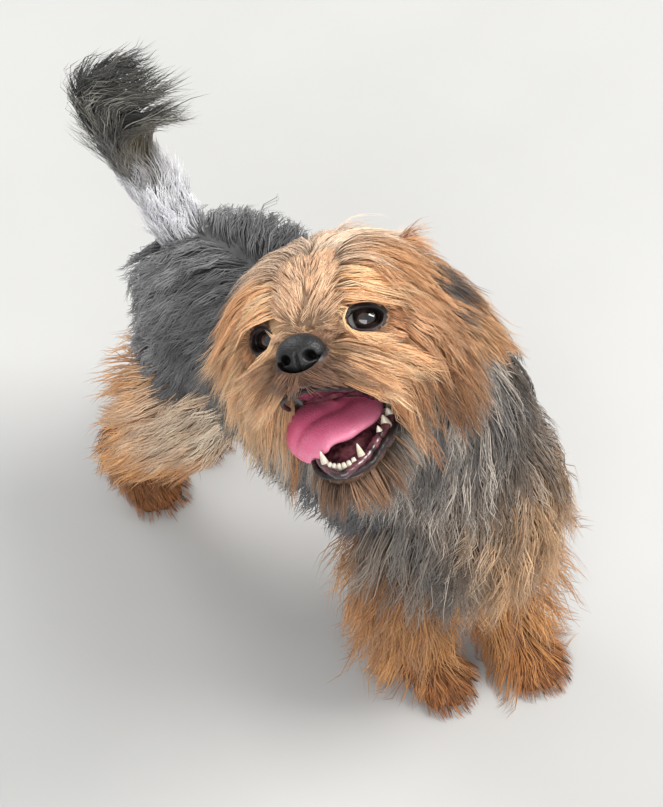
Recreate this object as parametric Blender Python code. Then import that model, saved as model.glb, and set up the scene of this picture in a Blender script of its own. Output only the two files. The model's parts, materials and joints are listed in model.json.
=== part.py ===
"""A small long-coated terrier, standing with its head turned up and to its right, mouth open, tail raised.

Metres, +Z up. The dog's nose end is towards -Y and its left side towards +X. The paws stand on z = 0.
Sizes are laid out round the middle of the four paws, and everything is then moved so that its box is centred.
"""

import math
import random
from collections import namedtuple
from functools import partial

import bmesh
import bpy
from mathutils import Matrix, Vector
from mathutils.bvhtree import BVHTree

CENTRE_SHIFT = Vector((0.0272, -0.0100, 0.0))
GAP = 0.00034

# Torso stations from the rump to the breastbone: x, y, middle height, half width, half depth.
TORSO = (
    (0.0, 0.096, 0.163, 0.022, 0.026),
    (0.0, 0.083, 0.164, 0.033, 0.037),
    (0.0, 0.050, 0.165, 0.036, 0.038),
    (0.0, 0.010, 0.162, 0.038, 0.041),
    (0.0, -0.030, 0.158, 0.040, 0.046),
    (0.0, -0.060, 0.157, 0.035, 0.043),
    (0.0, -0.076, 0.161, 0.025, 0.033),
)

# Neck stations from inside the shoulders to the skull: x, y, z, half width, half depth.
NECK = (
    (0.000, -0.050, 0.175, 0.031, 0.031),
    (-0.008, -0.053, 0.206, 0.028, 0.028),
    (-0.025, -0.048, 0.236, 0.025, 0.025),
    (-0.044, -0.041, 0.262, 0.024, 0.024),
)

# The head's own frame has its origin midway between the eyes, muzzle towards -y, crown towards +z, left towards +x.
HEAD_AT = Vector((-0.073, -0.044, 0.305))
HEAD_YAW = math.radians(-80)
HEAD_PITCH = math.radians(-48)
HEAD_ROLL = math.radians(-34)
HEAD = (
    Matrix.Translation(HEAD_AT)
    @ Matrix.Rotation(HEAD_YAW, 4, "Z")
    @ Matrix.Rotation(HEAD_PITCH, 4, "X")
    @ Matrix.Rotation(HEAD_ROLL, 4, "Y")
)

# Skull stations in the head's frame, from the nape to the muzzle: y, underside, top, half width.
SKULL = (
    (0.047, -0.012, 0.012, 0.016),
    (0.038, -0.024, 0.023, 0.027),
    (0.022, -0.030, 0.029, 0.032),
    (0.006, -0.031, 0.029, 0.033),
    (-0.004, -0.031, 0.023, 0.031),
    (-0.011, -0.028, 0.013, 0.027),
    (-0.017, -0.0255, 0.003, 0.021),
    (-0.024, -0.0240, -0.001, 0.0165),
    (-0.032, -0.0225, -0.0025, 0.0145),
    (-0.0375, -0.0205, -0.005, 0.0105),
)
# The hollow of the mouth under the palate, from the throat to the lips: y, underside, top, half width.
MOUTH = (
    (0.002, -0.036, -0.0235, 0.011),
    (-0.008, -0.042, -0.0215, 0.0145),
    (-0.018, -0.048, -0.0212, 0.0130),
    (-0.028, -0.052, -0.0208, 0.0105),
    (-0.034, -0.054, -0.0204, 0.0075),
)
# Half the edge of the upper lip, from the corner of the mouth to the middle, and of the lower lip with the jaw shut.
UPPER_LIP = (
    (0.0195, -0.002, -0.0265),
    (0.0180, -0.010, -0.0255),
    (0.0155, -0.020, -0.0240),
    (0.0125, -0.029, -0.0230),
    (0.0070, -0.0355, -0.0220),
)
UPPER_LIP_MIDDLE = (0.0, -0.0380, -0.0205)
LOWER_LIP = (
    (0.0180, -0.004, -0.0245),
    (0.0160, -0.012, -0.0240),
    (0.0125, -0.021, -0.0235),
    (0.0090, -0.0285, -0.0230),
)
LOWER_LIP_MIDDLE = (0.0, -0.0325, -0.0225)
LIP_THICKNESS = 0.0017

EYE_RADIUS = 0.0082
EYE_AT = Vector((0.0164, -0.0089, 0.0))
EYE_OUTWARD = math.radians(22)
LID_THICKNESS = 0.0014
LID_HALF_WIDTH = 0.0068
LID_HALF_HEIGHT = 0.0044

NOSE_AT = Vector((0.0, -0.0365, -0.0088))
NOSE_HALF = Vector((0.0092, 0.0062, 0.0070))
NOSTRIL_AT = Vector((0.0041, -0.0420, -0.0095))
NOSTRIL_HALF = Vector((0.0022, 0.0034, 0.0019))

JAW_HINGE = Vector((0.0, 0.012, -0.018))
JAW_OPEN = math.radians(43)
JAW = HEAD @ (
    Matrix.Translation(JAW_HINGE) @ Matrix.Rotation(JAW_OPEN, 4, "X") @ Matrix.Translation(-JAW_HINGE)
)
# Jaw stations with the mouth shut, from the cheeks to the chin: y, underside, top, half width.
JAWBONE = (
    (0.006, -0.036, -0.0235, 0.0175),
    (-0.004, -0.0355, -0.0240, 0.0175),
    (-0.014, -0.0330, -0.0235, 0.0145),
    (-0.023, -0.0310, -0.0230, 0.0110),
    (-0.030, -0.0280, -0.0225, 0.0075),
)
# Tongue stations with the jaw shut, from the throat to the tip: x, y, z, half width, half thickness.
TONGUE = (
    (0.000, 0.006, -0.0215, 0.0100, 0.0035),
    (-0.003, -0.004, -0.0200, 0.0120, 0.0042),
    (-0.009, -0.011, -0.0185, 0.0130, 0.0044),
    (-0.015, -0.016, -0.0185, 0.0125, 0.0040),
    (-0.0195, -0.0195, -0.0215, 0.0105, 0.0034),
    (-0.0215, -0.0210, -0.0265, 0.0065, 0.0026),
)
# Lower teeth with the jaw shut: x, y, height of the tip, radius at the gum.
TEETH = (
    (0.0068, -0.0262, -0.0155, 0.0017),
    (-0.0068, -0.0262, -0.0155, 0.0017),
    (0.0044, -0.0288, -0.0190, 0.0011),
    (0.0027, -0.0298, -0.0190, 0.0011),
    (0.0009, -0.0303, -0.0190, 0.0011),
    (-0.0009, -0.0303, -0.0190, 0.0011),
    (-0.0027, -0.0298, -0.0190, 0.0011),
    (-0.0044, -0.0288, -0.0190, 0.0011),
    (0.0148, -0.0060, -0.0195, 0.0022),
    (0.0138, -0.0105, -0.0185, 0.0022),
    (0.0122, -0.0150, -0.0190, 0.0018),
)
GUM_HEIGHT = -0.0250
TOOTH_SIDES = 5
TOOTH_LEAN = 0.1

EAR_ROOT = Vector((0.0225, 0.018, 0.021))
EAR_LIE = Vector((0.58, 0.33, -0.74))
# Ear stations along its length: distance from the root, half width, depth of the cup.
EAR = (
    (0.000, 0.0090, 0.0040),
    (0.008, 0.0125, 0.0048),
    (0.018, 0.0135, 0.0042),
    (0.028, 0.0105, 0.0030),
    (0.036, 0.0060, 0.0018),
)
EAR_TIP = 0.041
EAR_THICKNESS = 0.0022
EAR_RINGS = 6
EAR_ARC = 5

# Leg stations from inside the body to the ankle: x, y, z, half width, half depth. These are the right legs.
FORE_LEG = (
    (-0.0235, -0.0515, 0.150, 0.0122, 0.0196),
    (-0.026, -0.0505, 0.115, 0.0132, 0.0167),
    (-0.024, -0.050, 0.080, 0.010, 0.012),
    (-0.020, -0.054, 0.040, 0.0085, 0.0095),
    (-0.018, -0.058, 0.016, 0.0085, 0.0100),
)
HIND_LEG = (
    (-0.0206, 0.0752, 0.156, 0.0148, 0.0250),
    (-0.0274, 0.0728, 0.125, 0.0162, 0.0250),
    (-0.029, 0.082, 0.090, 0.012, 0.017),
    (-0.026, 0.117, 0.058, 0.0080, 0.0100),
    (-0.022, 0.128, 0.030, 0.0075, 0.0085),
    (-0.020, 0.126, 0.014, 0.0080, 0.0095),
)
LEFT_FORE_STEP = -0.033
LEFT_HIND_STEP = 0.004
LEG_TOP = 0.15
PAW_HALF = Vector((0.0120, 0.0160, 0.0110))
PAW_FORWARD = 0.008
TOE_RADIUS = 0.0058
TOE_SPLAY = 40.0
TOES = ((-0.0088, -0.0085), (-0.0032, -0.0135), (0.0032, -0.0135), (0.0088, -0.0085))

TAIL = (
    (0.000, 0.088, 0.184, 0.0100, 0.0100),
    (-0.001, 0.102, 0.206, 0.0080, 0.0080),
    (-0.006, 0.114, 0.228, 0.0065, 0.0065),
    (-0.011, 0.124, 0.252, 0.0055, 0.0055),
    (-0.013, 0.128, 0.276, 0.0040, 0.0040),
)

# Each coat's locks: length, half width, half thickness, height of the tips over the skin, rise at the root, sag.
Coat = namedtuple("Coat", "length width thickness height rise sag")
COATS = {
    "ear": Coat(0.026, 0.0055, 0.0011, 0.0025, 0.4, 0.3),
    "crown": Coat(0.040, 0.0080, 0.0015, 0.0090, 0.6, 0.4),
    "cheek": Coat(0.040, 0.0080, 0.0015, 0.0100, 0.7, 0.4),
    "low_cheek": Coat(0.044, 0.0085, 0.0015, 0.0090, 0.6, 1.3),
    "moustache": Coat(0.028, 0.0050, 0.0013, 0.0060, 0.6, 0.4),
    "beard": Coat(0.018, 0.0055, 0.0013, 0.0030, 0.5, 0.3),
    "neck": Coat(0.046, 0.0095, 0.0016, 0.0090, 0.6, 0.8),
    "torso": Coat(0.044, 0.0110, 0.0016, 0.0055, 0.4, 0.8),
    "chest": Coat(0.052, 0.0090, 0.0016, 0.0090, 0.6, 0.8),
    "foreleg": Coat(0.040, 0.0075, 0.0014, 0.0110, 0.8, 0.5),
    "far_foreleg": Coat(0.054, 0.0090, 0.0015, 0.0190, 1.0, 0.5),
    "shin": Coat(0.028, 0.0060, 0.0014, 0.0060, 0.6, 0.5),
    "thigh": Coat(0.043, 0.0090, 0.0015, 0.0110, 0.7, 0.25),
    "tail": Coat(0.036, 0.0062, 0.0014, 0.0050, 0.35, 0.0),
}
WELD = 0.000001
LOCK_STEPS = 4
LOCK_PROFILE = (0.60, 1.00, 0.90, 0.60)
LOCK_SUNK = 0.8
LOCK_SPREAD = 0.25
COVERED = 0.006
BURIED = 0.040
ROOT_LIFT = 0.001
FLOOR_CLEAR = 0.0035
TAIL_CURL = 0.262
GOLDEN_SHARE = (math.sqrt(5) - 1) / 2
SKIN_STEPS = 60
# Which draw of its locks a node takes, where the first leaves one loose or only touching another.
LOCK_DRAWS = {"ear_right": 2, "leg_fore_left": 1}
SHOULDER = -0.030


def clear_scene():
    """Removes the objects that a new session holds."""
    for item in list(bpy.data.objects):
        bpy.data.objects.remove(item)


def mesh_object(name, points, faces):
    """Makes an object of points and faces, with its faces turned outwards."""
    mesh = bpy.data.meshes.new(name)
    mesh.from_pydata([tuple(point) for point in points], [], faces)
    shell = bmesh.new()
    shell.from_mesh(mesh)
    bmesh.ops.recalc_face_normals(shell, faces=shell.faces)
    shell.to_mesh(mesh)
    shell.free()
    made = bpy.data.objects.new(name, mesh)
    bpy.context.scene.collection.objects.link(made)
    return made


def stack(name, rings, first, last):
    """Closes a stack of equal rings with a fan to a first and to a last point."""
    sides = len(rings[0])
    points = [point for ring in rings for point in ring]
    faces = []
    for level in range(len(rings) - 1):
        low = level * sides
        for side in range(sides):
            after = (side + 1) % sides
            faces.append((low + side, low + after, low + sides + after))
            faces.append((low + side, low + sides + after, low + sides + side))
    start = len(points)
    end = start + 1
    top = (len(rings) - 1) * sides
    for side in range(sides):
        after = (side + 1) % sides
        faces.append((start, side, after))
        faces.append((end, top + after, top + side))
    return mesh_object(name, points + [first, last], faces)


def smooth_rows(rows, count):
    """Spaces a count of rows along a Catmull-Rom curve through the rows given."""
    spans = len(rows) - 1
    result = []
    for step in range(count):
        place = step * spans / (count - 1)
        span = min(int(place), spans - 1)
        t = place - span
        near = [rows[max(span - 1, 0)], rows[span], rows[span + 1], rows[min(span + 2, spans)]]
        row = []
        for a, b, c, d in zip(*near):
            curve = 2 * b + (c - a) * t + (2 * a - 5 * b + 4 * c - d) * t**2 + (3 * b - a - 3 * c + d) * t**3
            row.append(curve / 2)
        result.append(row)
    return result


def path_frames(centres, across):
    """Gives each point of a path its direction, a side near the vector given, and one square to both."""
    frames = []
    for index, centre in enumerate(centres):
        before = centres[max(index - 1, 0)]
        after = centres[min(index + 1, len(centres) - 1)]
        along = (after - before).normalized()
        side = (across - across.dot(along) * along).normalized()
        frames.append((centre, along, side, along.cross(side)))
    return frames


def loft(name, rows, rings=8, sides=12, across=Vector((1, 0, 0)), frame=Matrix(), cap=0.8, grow=0.0):
    """Leads an ellipse through rows of x, y, z, half width and half depth, with rounded ends."""
    rows = smooth_rows(rows, rings)
    frames = path_frames([Vector(row[:3]) for row in rows], across)
    made = []
    for (centre, along, side, up), row in zip(frames, rows):
        made.append((centre, side, up, row[3] + grow, row[4] + grow))
    ends = []
    for (centre, along, side, up), row, way in ((frames[0], rows[0], -1), (frames[-1], rows[-1], 1)):
        reach = cap * min(row[3], row[4]) + grow
        ends.append((centre + way * 0.55 * reach * along, side, up, 0.78 * (row[3] + grow), 0.78 * (row[4] + grow)))
        ends.append(centre + way * reach * along)
    levels = [ends[0], *made, ends[2]]
    turns = [2 * math.pi * (index + 0.5) / sides for index in range(sides)]
    shell = []
    for centre, side, up, wide, deep in levels:
        ring = [centre + side * wide * math.cos(turn) + up * deep * math.sin(turn) for turn in turns]
        shell.append([frame @ point for point in ring])
    return stack(name, shell, frame @ ends[1], frame @ ends[3])


def deck(rows):
    """Turns rows of y, underside, top and half width into loft rows."""
    return [(0.0, y, (low + high) / 2, wide, (high - low) / 2) for y, low, high, wide in rows]


def ball(name, centre, half, frame=Matrix(), turn=Matrix(), rings=8, sides=12, grow=0.0):
    """Makes an ellipsoid about a centre, turned about it, with its poles along its own y."""
    size = half + Vector((grow, grow, grow))
    place = frame @ Matrix.Translation(centre) @ turn
    shell = []
    for level in range(1, rings):
        polar = math.pi * level / rings
        ring = []
        for index in range(sides):
            round_y = 2 * math.pi * (index + 0.5) / sides
            unit = (math.sin(polar) * math.cos(round_y), -math.cos(polar), math.sin(polar) * math.sin(round_y))
            ring.append(place @ Vector([part * extent for part, extent in zip(unit, size)]))
        shell.append(ring)
    return stack(name, shell, place @ Vector((0, -size.y, 0)), place @ Vector((0, size.y, 0)))


def combine(base, others, operation, solver="MANIFOLD"):
    """Joins the closed objects of a list to a base, or cuts it with them, and removes them."""
    if not others:
        return
    group = bpy.data.collections.new("pieces")
    for other in others:
        other.hide_render = True
        group.objects.link(other)
    change = base.modifiers.new("combine", "BOOLEAN")
    change.operation = operation
    change.operand_type = "COLLECTION"
    change.collection = group
    change.solver = solver
    with bpy.context.temp_override(object=base, active_object=base):
        bpy.ops.object.modifier_apply(modifier=change.name)
    bpy.data.collections.remove(group)
    for other in others:
        bpy.data.objects.remove(other)


def volume_of(faces):
    """Sums the signed volume under a set of faces."""
    total = 0.0
    for face in faces:
        corners = [vertex.co for vertex in face.verts]
        for index in range(1, len(corners) - 1):
            total += corners[0].dot(corners[index].cross(corners[index + 1])) / 6
    return total


def holds(corners, point, normal):
    """Tells whether a point lies inside a triangle whose corners turn about a normal."""
    sides = ((0, 1), (1, 2), (2, 0))
    return all((corners[b] - corners[a]).cross(point - corners[a]).dot(normal) > 0 for a, b in sides)


def best_ear(shell, corners, normal):
    """Finds the corner of a face that a new edge cuts off best, clear of the other corners."""
    best = (-2.0, None, None)
    for index, tip in enumerate(corners):
        before = corners[index - 1]
        after = corners[(index + 1) % len(corners)]
        if shell.edges.get((before, after)) is not None:
            continue
        ear = (before.co, tip.co, after.co)
        area = (ear[1] - ear[0]).cross(ear[2] - ear[1]).dot(normal)
        longest = max((ear[1] - ear[0]).length, (ear[2] - ear[1]).length, (ear[2] - ear[0]).length)
        rating = area / longest**2
        if any(holds(ear, other.co, normal) for other in corners if other not in (before, tip, after)):
            rating -= 1.0
        if rating > best[0]:
            best = (rating, before, after)
    return best[1:]


def split_faces(shell):
    """Splits every face into triangles, never with an edge between corners that already share one."""
    for face in list(shell.faces):
        normal = face.normal.copy()
        while len(face.verts) > 3:
            before, after = best_ear(shell, list(face.verts), normal)
            if before is None:
                print("no way to split a face of", len(face.verts))
                break
            rest, _ = bmesh.utils.face_split(face, before, after)
            face = max((face, rest), key=lambda piece: len(piece.verts))


def keep_largest(item):
    """Keeps only the largest closed surface of an object, welded and in triangles."""
    shell = bmesh.new()
    shell.from_mesh(item.data)
    left = set(shell.faces)
    islands = []
    while left:
        island = set()
        edge_of_search = [left.pop()]
        while edge_of_search:
            face = edge_of_search.pop()
            island.add(face)
            for edge in face.edges:
                for other in edge.link_faces:
                    if other in left:
                        left.remove(other)
                        edge_of_search.append(other)
        islands.append((abs(volume_of(island)), island))
    islands.sort(key=lambda island: island[0])
    for size, island in islands[:-1]:
        print(f"{item.name}: drops a scrap of {size * 1e9:.2f} mm3")
        bmesh.ops.delete(shell, geom=list(island), context="FACES")
    bmesh.ops.remove_doubles(shell, verts=shell.verts, dist=WELD)
    split_faces(shell)
    shell.to_mesh(item.data)
    shell.free()


def box_of(item):
    """Gives the two corners of an object's box."""
    points = [vertex.co for vertex in item.data.vertices]
    low = Vector([min(point[axis] for point in points) for axis in range(3)])
    high = Vector([max(point[axis] for point in points) for axis in range(3)])
    return low, high


def boxes_meet(first, second):
    """Tells whether the boxes of two objects share any space."""
    (low_a, high_a), (low_b, high_b) = box_of(first), box_of(second)
    return all(low_a[axis] < high_b[axis] and low_b[axis] < high_a[axis] for axis in range(3))


def mirrored(rows):
    """Mirrors rows of x, y, z and sizes to the other side."""
    return [(-row[0], *row[1:]) for row in rows]


def stepped(rows, step):
    """Mirrors the rows of a right leg to the left and swings them forwards or back about the top."""
    return [(-x, y + step * (1 - z / LEG_TOP), z, *sizes) for x, y, z, *sizes in rows]


LEGS = {
    "leg_fore_right": FORE_LEG,
    "leg_fore_left": stepped(FORE_LEG, LEFT_FORE_STEP),
    "leg_hind_right": HIND_LEG,
    "leg_hind_left": stepped(HIND_LEG, LEFT_HIND_STEP),
}


def surface_tree(items):
    """Gathers the faces of several objects for nearest-point searches."""
    points = []
    faces = []
    for item in items:
        start = len(points)
        points += [vertex.co.copy() for vertex in item.data.vertices]
        faces += [[start + index for index in face.vertices] for face in item.data.polygons]
    return BVHTree.FromPolygons(points, faces)


def skin_point(rows, along, turn, frame=Matrix(), lean=0.0):
    """Finds a root and its outward way on a loft, by share of length and turn; lean moves it onto an end."""
    smooth = smooth_rows(rows, SKIN_STEPS)
    index = min(int(along * SKIN_STEPS), SKIN_STEPS - 1)
    row = smooth[index]
    centre, ahead, side, up = path_frames([Vector(item[:3]) for item in smooth], Vector((1, 0, 0)))[index]
    arm = side * row[3] * math.cos(turn) + up * row[4] * math.sin(turn)
    out = side * math.cos(turn) / row[3] + up * math.sin(turn) / row[4]
    point = centre + arm * (1 - 0.3 * abs(lean)) + ahead * lean * 0.45 * min(row[3], row[4])
    return frame @ point, (frame.to_3x3() @ (out.normalized() + ahead * lean)).normalized()


def lock_path(root, out, flow, coat, tree, draw):
    """Leads one lock from under the skin out along its flow, over what lies below; gives None if covered."""
    hit, hit_out, _, distance = tree.ray_cast(root + out * ROOT_LIFT, out, BURIED)
    if hit is not None and (distance < COVERED or hit_out.dot(out) > 0):
        return None
    length = coat.length * draw.uniform(0.85, 1.15)
    step = length / LOCK_STEPS
    sunk = coat.width * LOCK_SUNK
    centre = root - out * sunk
    lie = flow(root, out)
    lie = (lie - out * lie.dot(out)).normalized()
    sway = lie.cross(out) * draw.uniform(-LOCK_SPREAD, LOCK_SPREAD)
    heading = (out * coat.rise + lie + sway).normalized()
    centres = [centre]
    outs = [out]
    for index in range(1, LOCK_STEPS + 1):
        share = index / LOCK_STEPS
        reach = step + (sunk if index == 1 else 0.0)
        centre = centre + heading * reach
        near, face_out, _, distance = tree.find_nearest(centre)
        gap = (centre - near).dot(face_out)
        depth = math.copysign(distance, gap)
        wanted = coat.thickness + GAP + coat.height * share
        if depth < wanted:
            centre = centre + face_out * (wanted - depth)
        centre.z = max(centre.z, FLOOR_CLEAR)
        if abs(depth) < 3 * coat.height:
            out = (out + face_out).normalized()
        centres.append(centre)
        outs.append(out)
        heading = (centres[-1] - centres[-2]).normalized()
        turn = flow(centre, out) + Vector((0, 0, -coat.sag)) + sway
        if depth < 2 * wanted:
            turn = turn - out * min(turn.dot(out), 0.0)
        heading = (heading + turn.normalized()).normalized()
    return centres, outs, coat


def lock(centres, outs, coat, grow=0.0):
    """Makes one flat lock of three sides, whose ridge faces out, tapering to its tip."""
    rings = []
    for index in range(LOCK_STEPS):
        ahead = (centres[index + 1] - centres[max(index - 1, 0)]).normalized()
        side = ahead.cross(outs[index]).normalized()
        up = side.cross(ahead)
        wide = coat.width * LOCK_PROFILE[index]
        tall = 2 * coat.thickness * (0.5 + 0.5 * LOCK_PROFILE[index])
        middle = wide * tall / (wide + math.hypot(wide, tall))
        swell = (middle + grow) / middle
        corners = ((-wide, 0.0), (wide, 0.0), (0.0, tall))
        ring = []
        for x, y in corners:
            ring.append(centres[index] + side * (x * swell) + up * (middle + (y - middle) * swell - tall / 2))
        rings.append(ring)
    back = (centres[0] - centres[1]).normalized()
    ahead = (centres[-1] - centres[-2]).normalized()
    return stack("lock", rings, centres[0] + back * (coat.thickness + 2 * grow), centres[-1] + ahead * 3 * grow)


def scatter(count, along, turns, draw):
    """Spreads a count of places evenly over a range of shares of length and a range of turns in degrees."""
    places = []
    for index in range(count):
        share = (index + 0.5 + draw.uniform(-0.2, 0.2)) / count
        sweep = (index * GOLDEN_SHARE + draw.uniform(-0.04, 0.04)) % 1.0
        place = along[0] + (along[1] - along[0]) * share
        places.append((place, math.radians(turns[0] + (turns[1] - turns[0]) * sweep)))
    return places


def head_way(x, y, z):
    """Turns a direction in the head's frame into the common one."""
    return HEAD.to_3x3() @ Vector((x, y, z))


def side_of(point):
    """Tells on which side of the head's middle plane a point lies."""
    return math.copysign(1.0, (HEAD.inverted() @ point).x)


def crown_flow(point, out):
    """Hair of the crown falls from the parting to the sides and back."""
    return head_way(0.9 * side_of(point), 0.55, 0.1)


def cheek_flow(point, out):
    """Hair of the cheeks falls outwards, back and down."""
    return head_way(0.45 * side_of(point), 0.35, -0.9)


def moustache_flow(point, out):
    """Hair of the muzzle falls outwards and back from the bridge."""
    return head_way(0.75 * side_of(point), 0.45, -0.6)


def beard_flow(point, out):
    """Hair of the chin points forwards and down from the lip."""
    return JAW.to_3x3() @ Vector((0.3 * side_of(point), -0.35, -1.0))


def ear_flow(side, point, out):
    """Hair of an ear runs along the leaf to its tip and on."""
    lie = EAR_LIE.normalized()
    return head_way(side * lie.x, lie.y, lie.z)


def neck_flow(point, out):
    """Hair of the neck hangs down it and fans out."""
    return Vector((0.25 * math.copysign(1.0, out.x), -0.1, -1.0))


def torso_flow(point, out):
    """Hair of the body falls from the line of the back to both sides and a little back."""
    outward = 1.2 * max(out.z, 0.0) if point.y > SHOULDER else 0.0
    return Vector((outward * math.copysign(1.0, point.x), 0.3, -0.9))


def back_flow(point, out):
    """Hair along the line of the back lies towards the tail."""
    return Vector((0.6 * math.copysign(1.0, point.x), 0.8, 0.0))


def rump_flow(point, out):
    """Hair of the rump hangs straight down."""
    return Vector((0.3 * out.x, 0.1, -1.0))


def chest_flow(point, out):
    """Hair of the breast hangs down in front of the forelegs."""
    return Vector((0.5 * out.x, -0.15, -1.0))


def foreleg_flow(point, out):
    """Hair of a foreleg stands off to its side and hangs down."""
    return Vector((0.7 * out.x, 0.3 * out.y, -1.0))


def shin_flow(point, out):
    """Hair of the lower leg hangs down over the paw."""
    return Vector((0.3 * out.x, 0.3 * out.y, -1.0))


def thigh_flow(point, out):
    """Hair of a hind leg sweeps down and back."""
    return Vector((0.5 * out.x, 0.90, -0.6))


def tail_flow(point, out):
    """Hair of the tail runs up it and curls over forwards and to the left at the top."""
    if point.z > TAIL_CURL:
        return Vector((0.8, -0.7, 0.1))
    return Vector((0.25 * out.x, 0.45 + 0.25 * out.y, 0.9))


def lip_rows(half, middle):
    """Leads a lip from one corner of the mouth round the middle to the other."""
    whole = [*half, middle, *mirrored(reversed(half))]
    return [(*point, LIP_THICKNESS, LIP_THICKNESS) for point in whole]


def eye_turn(side):
    """Turns an eye's own -y axis outwards to its side."""
    return Matrix.Rotation(side * EYE_OUTWARD, 4, "Z")


def eye_ball(side, size, name="eye", grow=0.0):
    """Makes a ball about the centre of the eye of a side."""
    centre = Vector((side * EYE_AT.x, EYE_AT.y, EYE_AT.z))
    return ball(name, centre, Vector((size, size, size)), HEAD, eye_turn(side), rings=7, sides=12, grow=grow)


def lid_opening(side, grow=0.0):
    """Makes the long ball whose cut leaves the slit between the lids."""
    centre = Vector((side * EYE_AT.x, EYE_AT.y, EYE_AT.z)) + eye_turn(side) @ Vector((0, -EYE_RADIUS, 0))
    half = Vector((LID_HALF_WIDTH, 2.5 * LID_HALF_HEIGHT, LID_HALF_HEIGHT))
    return ball("lid opening", centre, half, HEAD, eye_turn(side), rings=6, sides=12, grow=grow)


def tooth(x, y, tip, radius, grow=0.0):
    """Makes one lower tooth that rises from the gum."""
    height = tip - GUM_HEIGHT
    rings = []
    for share, thick in ((0.0, 1.0), (0.7, 0.75)):
        ring = []
        for index in range(TOOTH_SIDES):
            turn = 2 * math.pi * index / TOOTH_SIDES
            reach = radius * thick + grow
            ring.append(Vector((x + reach * math.cos(turn), y + reach * math.sin(turn), GUM_HEIGHT + share * height)))
        rings.append([JAW @ point for point in ring])
    root = JAW @ Vector((x, y, GUM_HEIGHT - grow))
    return stack("tooth", rings, root, JAW @ Vector((x, y - TOOTH_LEAN * height, tip + grow)))


def ear_leaf(side, grow=0.0):
    """Makes a hanging ear as a cupped leaf whose hollow faces the head."""
    lie = EAR_LIE.normalized()
    outward = Vector((1, 0, 0.3))
    outward = (outward - outward.dot(lie) * lie).normalized()
    across = lie.cross(outward)
    rings = []
    for distance, half, cup in smooth_rows(EAR, EAR_RINGS):
        thick = EAR_THICKNESS / 2 + grow
        ring = []
        for wide, deep, order in ((half + grow, cup + thick, 1), (half - 2 * thick, cup - thick, -1)):
            for index in range(EAR_ARC + 1)[::order]:
                turn = math.pi * (index / EAR_ARC - 0.5)
                rim = grow if index in (0, EAR_ARC) else 0.0
                ring.append(across * wide * math.sin(turn) + outward * (deep * math.cos(turn) - rim))
        rings.append([EAR_ROOT + lie * distance + point for point in ring])
    rings = [[Vector((side * point.x, point.y, point.z)) for point in ring] for ring in rings]
    rings = [[HEAD @ point for point in ring] for ring in rings]
    first = EAR_ROOT - lie * (0.002 + grow)
    last = EAR_ROOT + lie * (EAR_TIP + grow) + outward * 0.001
    ends = [HEAD @ Vector((side * point.x, point.y, point.z)) for point in (first, last)]
    return stack("ear", rings, ends[0], ends[1])


def paw_forms(ankle):
    """Gives the pad and toes of the foot under an ankle."""
    x, y = ankle[0], ankle[1] - PAW_FORWARD
    centre = Vector((x, y, 0.75 * PAW_HALF.z))
    forms = [partial(ball, "paw", centre, PAW_HALF, rings=6, sides=8)]
    for across, ahead in TOES:
        toe = Vector((x + across, y + ahead, 0.8 * TOE_RADIUS))
        splay = Matrix.Rotation(TOE_SPLAY * across, 4, "Z")
        half = Vector((TOE_RADIUS, 1.3 * TOE_RADIUS, TOE_RADIUS))
        forms.append(partial(ball, "toe", toe, half, turn=splay, rings=5, sides=6))
    return forms


def leg_forms(rows):
    """Gives the forms of a leg and its foot."""
    return [partial(loft, "leg", rows, rings=7, sides=8, cap=0.4), *paw_forms(rows[-1])]


def node_forms():
    """Lists the closed forms that are joined to make each node, in the order in which they keep their shape."""
    forms = {}
    forms["eye_left"] = [partial(eye_ball, 1, EYE_RADIUS)]
    forms["eye_right"] = [partial(eye_ball, -1, EYE_RADIUS)]
    forms["nose"] = [partial(ball, "nose", NOSE_AT, NOSE_HALF, HEAD, rings=7, sides=12)]
    forms["tongue"] = [partial(loft, "tongue", TONGUE, rings=8, sides=12, across=Vector((0.7, -0.7, 0)), frame=JAW)]
    jaw = [partial(loft, "jaw", deck(JAWBONE), rings=6, sides=10, frame=JAW)]
    jaw.append(partial(loft, "lip", lip_rows(LOWER_LIP, LOWER_LIP_MIDDLE), rings=9, sides=4,
                       across=Vector((0, 0, 1)), frame=JAW))
    jaw += [partial(tooth, *row) for row in TEETH]
    forms["jaw"] = jaw
    forms["ear_left"] = [partial(ear_leaf, 1)]
    forms["ear_right"] = [partial(ear_leaf, -1)]
    head = [partial(loft, "head", deck(SKULL), rings=12, sides=14, frame=HEAD)]
    head.append(partial(loft, "lip", lip_rows(UPPER_LIP, UPPER_LIP_MIDDLE), rings=11, sides=4,
                        across=Vector((0, 0, 1)), frame=HEAD))
    for side in (1, -1):
        head.append(partial(eye_ball, side, EYE_RADIUS + LID_THICKNESS, "lids"))
    forms["head"] = head
    forms["neck"] = [partial(loft, "neck", NECK, rings=6, sides=12)]
    forms["torso"] = [partial(loft, "torso", TORSO, rings=9, sides=14)]
    forms["tail"] = [partial(loft, "tail", TAIL, rings=8, sides=8)]
    for name, rows in LEGS.items():
        forms[name] = leg_forms(rows)
    return forms


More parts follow.
